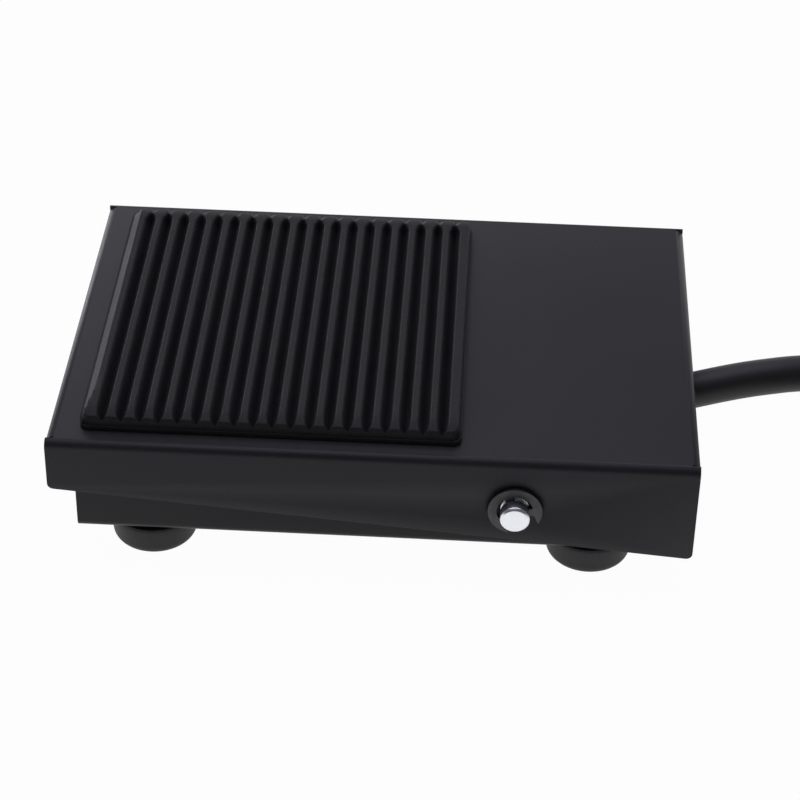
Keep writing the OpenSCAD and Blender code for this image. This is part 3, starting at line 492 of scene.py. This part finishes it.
EXIT = Vector((46.7, -0.4, 13.3))
WAY = Vector((1.0, 0.22, 0.16)).normalized()
INNER_LENGTH = 15.0
LEAD_RADIUS = 2.85
LEAD_STEPS = (
    (0, 0, 0), (3, 0.7, 0.45), (6.6, 1.5, 1), (10.4, 2.4, 1.4), (14, 3.3, 1.55), (17.6, 4.3, 1.5),
    (21.4, 5.4, 1.1), (25.4, 6.8, 0.05), (29.4, 8.4, -1.65), (33.4, 10.2, -3.95),
    (37.4, 12.1, -6.4), (41.4, 14, -8.3), (45.4, 15.8, -9.5), (50.4, 17.4, -10.1),
    (55.4, 18.6, -10.35), (60.4, 19.4, -10.44), (64.4, 19.8, -10.45))
LEAD_ROUTE = [tuple(EXIT + Vector(step)) for step in LEAD_STEPS]
LEAD_END = LEAD_ROUTE[-1]
COIL_TURNS = 4
COIL_STEPS = 24
COIL_PITCH = 6.2
COIL_LIFT = 6.2
CLIMB_TURNS = 0.5
COIL_DIAMETER = 66.6
COIL_OUTER = COIL_DIAMETER / 2 + COIL_PITCH * COIL_TURNS / 4
COIL_CENTRE = (LEAD_END[0] + 2 * LEAD_RADIUS, LEAD_END[1] - COIL_OUTER)
TIE_ANGLE = 200.0
TIE_SPREAD = 24.0
TIE_LIFT = 1.1


def coil_radius(t):
    return COIL_OUTER - COIL_PITCH * (COIL_TURNS / 2 - abs(t - COIL_TURNS / 2))


def coil_point(t):
    """A point on the coil after t turns, with its climbs to the upper layer and over the tie."""
    share = max(0.0, min(1.0, (t - COIL_TURNS / 2) / CLIMB_TURNS + 0.5))
    climb = COIL_LIFT * share * share * (3 - 2 * share)
    angle = 90 - 360 * t
    off = angle - TIE_ANGLE
    off -= 360 * math.floor(off / 360 + 0.5)
    lift = TIE_LIFT * math.exp(-(off / TIE_SPREAD) ** 2)
    a = math.radians(angle)
    r = coil_radius(t)
    return (COIL_CENTRE[0] + r * math.cos(a), COIL_CENTRE[1] + r * math.sin(a),
            LEAD_RADIUS + climb + lift)


COIL_END = Vector(coil_point(COIL_TURNS)) + Vector((2 * LEAD_RADIUS, 0, 0))
CORE_BEND = 28.0
CORE_SINK = 1.05
CORE_RADIUS = 0.95
CORE_RING = 0.66 * 2 * CORE_RADIUS
CORE_LENGTH = 26.0
BARE_LENGTH = 6.0
CORE_ANGLES = {"brown": 150.0, "blue": 270.0, "black": 30.0}
STRANDS = 7
STRAND_RING = 0.44
STRAND_RADIUS = 0.21
STRAND_TWIST = 22
STRAND_START = 0.6


def core_offset(way, angle, ring):
    side = Vector((0, 0, 1)).cross(way).normalized()
    a = math.radians(angle)
    return ring * (math.cos(a) * side + math.sin(a) * way.cross(side))


def core_point(s, angle, ring=0.0, twist=0.0):
    """A point on a core that runs out of the lead's free end, or on a strand round it."""
    a = s / CORE_BEND
    w = min(1.0, s / CORE_BEND * 2)
    sink = CORE_SINK * w * w * (3 - 2 * w)
    way = Vector((math.cos(a), -math.sin(a), 0))
    middle = COIL_END + Vector((CORE_BEND * math.sin(a), CORE_BEND * (math.cos(a) - 1), -sink))
    return middle + core_offset(way, angle, CORE_RING) + core_offset(way, twist, ring)


def body_of_node(node):
    return NODES[node]["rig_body"]


class TreadShape:
    """The tread's height over its plan, in millimetres. Near is the side towards the camera."""
    lip = 0.3
    toe_border, lead_border = 2.95, 2.55
    corner = 1.2
    edge_round, edge_drop = 0.35, 1.3
    slope_wide, slope_drop = 1.15, 1.05
    slope_tip, slope_reach = 0.12, 9.0
    near_droop, near_droop_reach = 0.5, 3.0
    far_droop, far_droop_reach = 0.4, 2.5
    near_start, near_bluntness = -0.6, 0.35
    far_start, far_bluntness = 1.6, 0.7
    mouth_reach = 3.3
    mouth_left, mouth_right = (0.3, 2.2), (1.1, 0.6)
    groove_top = 1.12
    tip_depth = 1.6

    def __init__(self, p):
        self.long = p.tread_length / MM - 2 * self.lip
        self.wide = p.tread_width / MM - 2 * self.lip
        self.tall = p.tread_height / MM
        self.half = self.wide / 2
        self.width = self.groove_top * p.groove_width / MM / 2
        self.depth = p.groove_depth / MM
        self.near_point, self.far_point = p.near_point / MM, p.far_point / MM
        self.pitch = (self.long - self.toe_border - self.lead_border) / (p.grooves - 1)
        self.centres = [self.toe_border - self.long / 2 + k * self.pitch for k in range(p.grooves)]

    def columns(self):
        """Places along the pad, close together where the height turns."""
        sides = (0.0, 0.03, 0.1, 0.2, 0.35, 0.6, 0.9, 1.15)
        right = (0.12, 0.3, 0.48, 0.64, 0.78, 0.9, 1.0)
        across = [-share for share in reversed(right)] + [0.0, *right]
        xs = [side - self.long / 2 for side in sides]
        for k, centre in enumerate(self.centres):
            xs += [centre + share * self.width for share in across]
            if k < len(self.centres) - 1:
                rib = self.pitch - 2 * self.width
                xs += [centre + self.width + rib * share for share in (0.33, 0.67)]
        return xs + [self.long / 2 - side for side in reversed(sides)]

    def rows(self):
        """Places across the pad, close together at its ends."""
        ends = [0.0, 0.02, 0.06, 0.12, 0.2, 0.3, 0.42, 0.56, 0.72, 0.9, 1.1, 1.3]
        fine, fine_steps, middle_steps = 0.27, 19, 22
        ends += [ends[-1] + fine * k for k in range(1, fine_steps + 1)]
        ys = [end - self.half for end in ends]
        middle = 2 * (self.half - ends[-1])
        ys += [ys[-1] + middle * k / middle_steps for k in range(1, middle_steps)]
        return ys + [self.half - end for end in reversed(ends)]

    def rounded_fall(self, from_edge):
        share = 1 - max(0.0, min(1.0, from_edge / self.edge_round))
        return self.edge_drop * (1 - (1 - share * share) ** 0.5)

    def height(self, x, y):
        near = y < 0
        from_end, from_side = self.half - abs(y), self.long / 2 - abs(x)
        aside = x - min(self.centres, key=lambda c: abs(c - x))
        off = abs(aside)
        side = self.rounded_fall(from_side)
        if x < 0:
            narrow = min(1.0, self.slope_tip + from_end / self.slope_reach) if near else 1.0
            side = self.slope_drop * max(0.0, 1 - from_side / (self.slope_wide * narrow))
        if near:
            droop = self.near_droop * max(0.0, 1 - from_end / self.near_droop_reach) ** 2
            tip = max(0.0, min(1.0, (from_end - self.near_start) / self.near_point))
            local = self.width * tip ** self.near_bluntness
        else:
            droop = self.far_droop * max(0.0, 1 - from_end / self.far_droop_reach) ** 2
            tip = max(0.0, min(1.0, (from_end - self.far_start) / self.far_point))
            local = self.width * tip ** self.far_bluntness
        crown = self.tall - droop
        top = crown - max(side, self.rounded_fall(from_end))
        if not near:
            mouth = max(0.0, 1 - from_end / self.mouth_reach)
            open_wide, slope = self.mouth_right if aside > 0 else self.mouth_left
            top = min(top, crown - slope * max(0.0, open_wide * mouth - off))
        if off < local:
            u = off / local
            deep = self.depth * min(1.0, self.tip_depth * tip)
            top = min(top, crown - deep * (1 - u) ** 1.5 * (1 + 0.5 * u))
        return top

    def place(self, x, y):
        """A point of the pad's top, drawn in at the rounded corners."""
        z = self.height(x, y)
        dx, dy = abs(x) - (self.long / 2 - self.corner), abs(y) - (self.half - self.corner)
        if dx > 0 and dy > 0:
            pull = max(dx, dy) / math.hypot(dx, dy)
            x = math.copysign(self.long / 2 - self.corner + dx * pull, x)
            y = math.copysign(self.half - self.corner + dy * pull, y)
        return Vector((x, y, z)) * MM


class FootSwitchSizes(bpy.types.PropertyGroup):
    """Sizes and colours that a user may change."""
    lens: FloatProperty(name="Lens",
                        description="Focal length of the camera", default=111.419487, unit="CAMERA")
    cover_edge: FloatProperty(name="Cover edge", description="Rounding of the cover's cut edges",
                              default=0.00012, unit="LENGTH")
    tread_length: FloatProperty(name="Tread length",
                                description="Length of the tread pad along the pedal",
                                default=0.0558, unit="LENGTH")
    tread_width: FloatProperty(name="Tread width",
                               description="Width of the tread pad across the pedal",
                               default=0.059, unit="LENGTH")
    tread_height: FloatProperty(name="Tread height", description="Thickness of the tread pad",
                                default=0.0026, unit="LENGTH")
    grooves: IntProperty(name="Grooves",
                         description="Number of grooves across the tread", default=19)
    groove_width: FloatProperty(name="Groove width",
                                description="Width of a groove", default=0.0018, unit="LENGTH")
    groove_depth: FloatProperty(name="Groove depth",
                                description="Depth of a groove", default=0.0018, unit="LENGTH")
    near_point: FloatProperty(name="Near point",
                              description="Length of the point at a groove's near end",
                              default=0.0030, unit="LENGTH")
    far_point: FloatProperty(name="Far point",
                             description="Length of the point at a groove's far end",
                             default=0.0022, unit="LENGTH")
    paint_colour: FloatVectorProperty(name="Paint",
                                      description="Colour of the powder coat", subtype="COLOR",
                                      size=3, default=(0.0210, 0.0203, 0.0237))
    rubber_colour: FloatVectorProperty(name="Rubber",
                                       description="Colour of the rubber", subtype="COLOR",
                                       size=3, default=(0.0092, 0.0090, 0.0102))
    lead_colour: FloatVectorProperty(name="Lead",
                                     description="Colour of the lead's jacket", subtype="COLOR",
                                     size=3, default=(0.017, 0.017, 0.0188))
    floor_colour: FloatVectorProperty(name="Floor",
                                      description="Colour of the floor", subtype="COLOR",
                                      size=3, default=(0.86, 0.86, 0.86))


class FOOTSWITCH_OT_camera(bpy.types.Operator):
    """Adds the camera at the photograph's viewing angle"""
    bl_idname = "footswitch.camera"
    bl_label = "Camera"

    def execute(self, context):
        pitch, yaw, roll = 0.6247, 0.0391, 0.0212
        place = (0.0151098, -0.3178426, 0.2385394)
        ahead = Vector((-math.sin(yaw) * math.cos(pitch), math.cos(yaw) * math.cos(pitch),
                        -math.sin(pitch)))
        level = Vector((math.cos(yaw), math.sin(yaw), 0.0))
        up = level.cross(ahead)
        right = math.cos(roll) * level + math.sin(roll) * up
        top = math.cos(roll) * up - math.sin(roll) * level
        turn = Matrix((right, top, -ahead)).transposed()
        fresh()
        bpy.ops.object.camera_add(location=place, rotation=turn.to_euler())
        camera = context.object
        camera.name = "camera"
        camera.data.sensor_width = 36.0
        camera.data.lens = context.scene.foot_switch.lens
        camera.data.clip_start = 0.01
        context.scene.camera = camera
        return {"FINISHED"}


class FOOTSWITCH_OT_lead(bpy.types.Operator):
    """Runs the lead out of the tray and into its tied coil, with the three cores at its end"""
    bl_idname = "footswitch.lead"
    bl_label = "Lead and coil"

    def execute(self, context):
        f = finishes(context)
        coil = [coil_point(i / COIL_STEPS) for i in range(COIL_STEPS * COIL_TURNS + 1)]
        route = LEAD_ROUTE + coil + [tuple(COIL_END)]
        lead = tube("lead_cable", [route], LEAD_RADIUS, f.jacket, sides=8, mesh=False)
        stands_for(lead, "base", "lead_jacket", "lead", "lead_coil")
        steps = 8
        covered = CORE_LENGTH - BARE_LENGTH
        for name, angle in CORE_ANGLES.items():
            points = [core_point(s * covered / steps, angle) for s in range(steps + 1)]
            core = tube(name + "_insulation", [points], CORE_RADIUS, getattr(f, name), sides=5)
            stands_for(core, "base", name + "_insulation", name + "_core")
        strands = []
        start, run = covered - STRAND_START, BARE_LENGTH + STRAND_START
        for angle in CORE_ANGLES.values():
            for k in range(STRANDS):
                ring = STRAND_RING if k else 0.0
                strands.append([
                    core_point(start + s * run / steps, angle, ring, 60 * k + STRAND_TWIST * s)
                    for s in range(steps + 1)])
        bare = tube("stripped_strands", strands, STRAND_RADIUS, f.copper, sides=2)
        stands_for(bare, "base", "copper", "bare_strands")
        self.tie(f)
        return {"FINISHED"}

    def tie(self, f):
        """The band round the coil, with its small lock."""
        band = softened("lead_tie", f.tie, "base", "black_plastic", radius=0.00018)
        fresh()
        bpy.ops.mesh.primitive_cube_add(size=1.0)
        lock = bpy.context.object
        size, edge, middle_height, stand_off = (2.4, 4.6, 4.2), 0.5, 10.6, 1.9
        a = math.radians(TIE_ANGLE)
        last_pass = (90 - TIE_ANGLE) % 360 / 360 + COIL_TURNS - 1
        reach = coil_radius(last_pass) + LEAD_RADIUS + stand_off
        lock.dimensions = Vector(size) * MM
        lock.rotation_euler = (0, 0, a)
        lock.location = Vector((COIL_CENTRE[0] + reach * math.cos(a),
                                COIL_CENTRE[1] + reach * math.sin(a), middle_height)) * MM
        chosen(lock)
        bpy.ops.object.transform_apply(location=True, rotation=True, scale=True)
        rounded(lock, edge * MM, segments=3)
        settled(lock, "tie_lock", f.tie)
        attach(lock, "base")
        return joined([band, lock])


class FOOTSWITCH_OT_tread(bpy.types.Operator):
    """Models the grooved rubber tread on the cover"""
    bl_idname = "footswitch.tread"
    bl_label = "Tread"

    def execute(self, context):
        shape = TreadShape(context.scene.foot_switch)
        xs, ys = shape.columns(), shape.rows()
        fresh()
        bpy.ops.mesh.primitive_grid_add(x_subdivisions=len(xs) - 1, y_subdivisions=len(ys) - 1,
                                        size=2.0, location=(0, 0, 0))
        pad = context.object
        across = sorted({round(v.co.x, 5) for v in pad.data.vertices})
        along = sorted({round(v.co.y, 5) for v in pad.data.vertices})
        if len(across) != len(xs) or len(along) != len(ys):
            raise RuntimeError("the tread's grid has %d by %d points" % (len(across), len(along)))
        xi = {c: i for i, c in enumerate(across)}
        yi = {c: i for i, c in enumerate(along)}
        for v in pad.data.vertices:
            v.co = shape.place(xs[xi[round(v.co.x, 5)]], ys[yi[round(v.co.y, 5)]])
        chosen(pad)
        grown = (1 + 2 * shape.lip / shape.long, 1 + 2 * shape.lip / shape.wide, 1.0)
        bpy.ops.object.mode_set(mode="EDIT")
        bpy.ops.mesh.select_mode(type="EDGE")
        bpy.ops.mesh.select_all(action="DESELECT")
        bpy.ops.mesh.select_non_manifold()
        bpy.ops.mesh.extrude_region_move(TRANSFORM_OT_translate={"value": (0, 0, 0)})
        bpy.ops.transform.resize(value=grown, center_override=(0, 0, 0))
        bpy.ops.mesh.extrude_region_move(TRANSFORM_OT_translate={"value": (0, 0, -0.0001)})
        bpy.ops.mesh.extrude_region_move(TRANSFORM_OT_translate={"value": (0, 0, 0)})
        bpy.ops.transform.resize(value=(1.0, 1.0, 0.0), center_override=(0, 0, 0))
        bpy.ops.mesh.edge_face_add()
        bpy.ops.mesh.select_mode(type="VERT")
        bpy.ops.mesh.select_all(action="SELECT")
        bpy.ops.mesh.normals_make_consistent(inside=False)
        bpy.ops.object.mode_set(mode="OBJECT")
        low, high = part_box("tread_pad")
        pad.location = ((low.x + high.x) / 2, (low.y + high.y) / 2, low.z)
        settled(pad, "grooved_tread", finishes(context).tread, angle=38.0)
        stands_for(pad, "pedal", "tread_rubber", "tread_pad")
        return {"FINISHED"}


class FOOTSWITCH_OT_sheet_metal(bpy.types.Operator):
    """Rounds the cut edges of the cover and the tray and paints them"""
    bl_idname = "footswitch.sheet_metal"
    bl_label = "Cover and tray"

    def execute(self, context):
        f = finishes(context)
        edge = context.scene.foot_switch.cover_edge
        softened("pedal_cover", f.cover, "pedal", "cover_paint", radius=edge)
        softened("base_tray", f.tray, "base", "tray_paint", radius=edge)
        return {"FINISHED"}


class FOOTSWITCH_OT_feet(bpy.types.Operator):
    """Turns the four rubber feet"""
    bl_idname = "footswitch.feet"
    bl_label = "Feet"

    def execute(self, context):
        recess, toe_middle, toe_round = 3.28, 4.7, 1.7
        outline = [(recess, 0.0)]
        for k in range(11):
            a = math.radians(270 + 90 * k / 10)
            outline.append((toe_middle + toe_round * math.cos(a), toe_round * (1 + math.sin(a))))
        outline += [(6.56, 3.2), (6.7, 4.5), (6.68, 4.85), (6.55, 5.1), (6.3, 5.2), (4.2, 5.2),
                    (4.04, 5.28), (4.0, 5.45), (4.0, 6.3), (1.6, 6.3), (1.6, 2.6), (recess, 2.6)]
        first = turned(outline, steps=72)
        for node in ("foot_front_toe", "foot_front_lead", "foot_rear_toe", "foot_rear_lead"):
            low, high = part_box(node)
            foot = copied(first)
            foot.location = ((low.x + high.x) / 2, (low.y + high.y) / 2, 0.0)
            settled(foot, node + "_rubber", finishes(context).foot)
            stands_for(foot, "base", "foot_rubber", node)
        bpy.data.objects.remove(first)
        return {"FINISHED"}


class FOOTSWITCH_OT_hinge(bpy.types.Operator):
    """Models the hinge pin and its two clips"""
    bl_idname = "footswitch.hinge"
    bl_label = "Hinge pin and clips"

    def execute(self, context):
        f = finishes(context)
        softened("hinge_pin", f.pin, "base", "pin_steel", radius=0.00010)
        softened("retaining_clips", f.clip, "base", "dark_steel", radius=0.00014, segments=3)
        return {"FINISHED"}


class FOOTSWITCH_OT_spring(bpy.types.Operator):
    """Winds the return spring and dresses its seat, peg and the striker"""
    bl_idname = "footswitch.spring"
    bl_label = "Return spring"

    def execute(self, context):
        f = finishes(context)
        low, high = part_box("return_spring")
        centre = (low + high) / 2 / MM
        wire, coil, turns, rings = 0.45, 3.5, 6, 16
        bottom, top = low.z / MM + wire, high.z / MM - wire
        points = []
        for i in range(turns * rings + 1):
            share = i / (turns * rings)
            a = 2 * math.pi * i / rings
            points.append((centre.x + coil * math.cos(a), centre.y + coil * math.sin(a),
                           bottom + (top - bottom) * share))
        spring = tube("wound_spring", [points], wire, f.spring, sides=4)
        stands_for(spring, "base", "spring_steel", "return_spring")
        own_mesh(spring)
        softened("spring_seat", f.seat, "base", "white_plastic", radius=0.00012)
        softened("spring_peg", f.zinc, "pedal", "zinc_steel", radius=0.00015)
        softened("striker_block", f.zinc, "pedal", "zinc_steel", radius=0.00012)
        return {"FINISHED"}


class FOOTSWITCH_OT_snap_switch(bpy.types.Operator):
    """Dresses the snap switch, its contacts and its bracket"""
    bl_idname = "footswitch.snap_switch"
    bl_label = "Snap switch"

    def execute(self, context):
        f = finishes(context)
        for node, finish, slot in (
                ("switch_case", f.case, "black_plastic"),
                ("switch_lid", f.case, "black_plastic"),
                ("switch_plunger", f.plunger, "red_plastic"),
                ("switch_lever", f.strip, "spring_steel"),
                ("moving_contact", f.brass, "contact_brass"),
                ("common_terminal", f.brass, "contact_brass"),
                ("open_terminal", f.brass, "contact_brass"),
                ("closed_terminal", f.brass, "contact_brass"),
                ("switch_bracket", f.zinc, "zinc_steel"),
                ("wire_sleeves", f.sleeve, "sleeve_plastic")):
            softened(node, finish, body_of_node(node), slot, radius=0.00008)
        return {"FINISHED"}


class FOOTSWITCH_OT_fasteners(bpy.types.Operator):
    """Dresses the screws, nuts, washers and rivets"""
    bl_idname = "footswitch.fasteners"
    bl_label = "Fasteners"

    def execute(self, context):
        f = finishes(context)
        for node in ("foot_screws", "foot_washers", "foot_nuts", "bracket_rivets", "switch_screws",
                     "switch_nuts", "clamp_screws"):
            softened(node, f.zinc, "base", "zinc_steel", radius=0.00010)
        return {"FINISHED"}


class FOOTSWITCH_OT_wiring(bpy.types.Operator):
    """Dresses the grommet, the clamp and the wires inside"""
    bl_idname = "footswitch.wiring"
    bl_label = "Wiring inside"

    def execute(self, context):
        f = finishes(context)
        softened("lead_grommet", f.grommet, "base", "grommet_rubber", radius=0.00022, segments=3)
        softened("lead_clamp", f.clamp, "base", "white_plastic", radius=0.00018)
        softened("inner_lead", f.jacket, "base", "lead_jacket", radius=0.00012)
        inner = EXIT - INNER_LENGTH * WAY
        tray_floor, slack = 7.3, 0.02
        low = tray_floor + CORE_RADIUS + slack
        bend, lean, pitch, first_lane, last_tab = 7.6, 12.079, 2.3, -17.5, 3.8
        sleeve_y, tab_z = -9.35, 8.85
        sweep_steps, bend_steps = 16, 8
        for node, core, lane, x in (("common_wire", "brown", 2, -11.6),
                                    ("open_wire", "blue", 1, -3.9),
                                    ("closed_wire", "black", 0, last_tab)):
            start = inner + core_offset(WAY, CORE_ANGLES[core], CORE_RING)
            y = first_lane - lane * pitch
            join = Vector((last_tab + bend + lane * pitch, y, low))
            handle = start - (lean + (1 - lane) * pitch) * WAY
            handle.z = max(low, handle.z)
            other = join + Vector((lean, 0, 0))
            points = []
            for i in range(sweep_steps + 1):
                t = i / sweep_steps
                points.append((1 - t) ** 3 * start + 3 * t * (1 - t) ** 2 * handle
                              + 3 * t * t * (1 - t) * other + t ** 3 * join)
            if lane:
                points.append(Vector((x + bend, y, low)))
            for i in range(1, bend_steps + 1):
                a = math.radians(90 * i / bend_steps)
                points.append(Vector((x + bend - bend * math.sin(a), y + bend * (1 - math.cos(a)),
                                      low + (tab_z - low) * i / bend_steps)))
            points.append(Vector((x, sleeve_y, tab_z)))
            wire = tube(node + "_insulation", [points], CORE_RADIUS, getattr(f, core), sides=5)
            stands_for(wire, "base", core + "_insulation", node)
        return {"FINISHED"}


class FOOTSWITCH_OT_stage(bpy.types.Operator):
    """Lays the pale floor and sets the soft studio light"""
    bl_idname = "footswitch.stage"
    bl_label = "Stage"

    def execute(self, context):
        p = context.scene.foot_switch
        context.scene.view_settings.view_transform = "Standard"
        fresh()
        bpy.ops.mesh.primitive_plane_add(size=6.0, location=(0, 0, 0))
        floor = context.object
        floor.name = "floor"
        s = Surface("pale floor", Roughness=0.9)
        s.colour(tuple(p.floor_colour))
        seen = s.node("ShaderNodeLightPath", out="Is Camera Ray")
        rays = seen.socket.node.outputs
        for name in ("Is Glossy Ray", "Is Transmission Ray"):
            seen = seen.largest(Value(s, rays[name]))
        white = s.node("ShaderNodeEmission", inputs={"Color": (1.0, 1.0, 1.0), "Strength": 1.0})
        plain = Value(s, s.shader.outputs[0])
        white_share = 0.97
        mixed = s.node("ShaderNodeMixShader", inputs={0: seen * white_share, 1: plain, 2: white})
        s.tree.links.new(mixed.socket, s.tree.nodes["Material Output"].inputs["Surface"])
        floor.data.materials.append(s.material)
        for name, place, wide, tall, power in (
                ("overhead softbox", (-0.10, 0.20, 0.92), 1.1, 0.9, 4.3),
                ("back left softbox", (-0.67, 0.74, 0.055), 0.55, 0.1, 1.7)):
            fresh()
            bpy.ops.object.light_add(type="AREA", location=place)
            lamp = context.object
            lamp.name = name
            lamp.data.shape = "RECTANGLE"
            lamp.data.size = wide
            lamp.data.size_y = tall
            lamp.data.energy = power
            lamp.data.color = COOL
            lamp.rotation_euler = (-Vector(place)).to_track_quat("-Z", "Y").to_euler()
            lamp.visible_camera = False
        world = bpy.data.worlds.new("studio")
        context.scene.world = world
        world.use_nodes = True
        w = Finish(world.node_tree)
        x, y, z = w.parts(w.node("ShaderNodeTexCoord", out="Generated"))
        from_back_to_front = z.turn(y) / math.pi
        sky = w.level(from_back_to_front, (0.0, 1.0), (0.13, 0.9), (0.17, 0.58), (0.21, 0.24),
                      (0.31, 0.15), (0.50, 0.16), (0.97, 0.06), (1.0, 0.3))
        background = world.node_tree.nodes["Background"]
        level, lean = 0.98, 0.12
        w.put(background.inputs["Color"], w.mixed(z.largest(0.0) ** 0.5, (1.0, 1.0, 1.0), COOL))
        w.put(background.inputs["Strength"], sky * (level - x * lean))
        return {"FINISHED"}


OPERATORS = (FOOTSWITCH_OT_camera, FOOTSWITCH_OT_lead, FOOTSWITCH_OT_tread,
             FOOTSWITCH_OT_sheet_metal, FOOTSWITCH_OT_feet, FOOTSWITCH_OT_hinge,
             FOOTSWITCH_OT_spring, FOOTSWITCH_OT_snap_switch, FOOTSWITCH_OT_fasteners,
             FOOTSWITCH_OT_wiring, FOOTSWITCH_OT_stage)


class FOOTSWITCH_PT_panel(bpy.types.Panel):
    """Lists the foot switch's steps in the sidebar"""
    bl_idname = "FOOTSWITCH_PT_panel"
    bl_label = "Foot switch"
    bl_space_type = "VIEW_3D"
    bl_region_type = "UI"
    bl_category = "Foot switch"

    def draw(self, context):
        sizes = context.scene.foot_switch
        for name in FootSwitchSizes.__annotations__:
            self.layout.prop(sizes, name)
        for operator in OPERATORS:
            self.layout.operator(operator.bl_idname)


CLASSES = (FootSwitchSizes, *OPERATORS, FOOTSWITCH_PT_panel)


def register():
    for cls in CLASSES:
        bpy.utils.register_class(cls)
    bpy.types.Scene.foot_switch = PointerProperty(type=FootSwitchSizes)


def unregister():
    del bpy.types.Scene.foot_switch
    for cls in reversed(CLASSES):
        bpy.utils.unregister_class(cls)


def main():
    register()
    for operator in OPERATORS:
        group, name = operator.bl_idname.split(".")
        getattr(getattr(bpy.ops, group), name)()


if __name__ == "__main__":
    main()
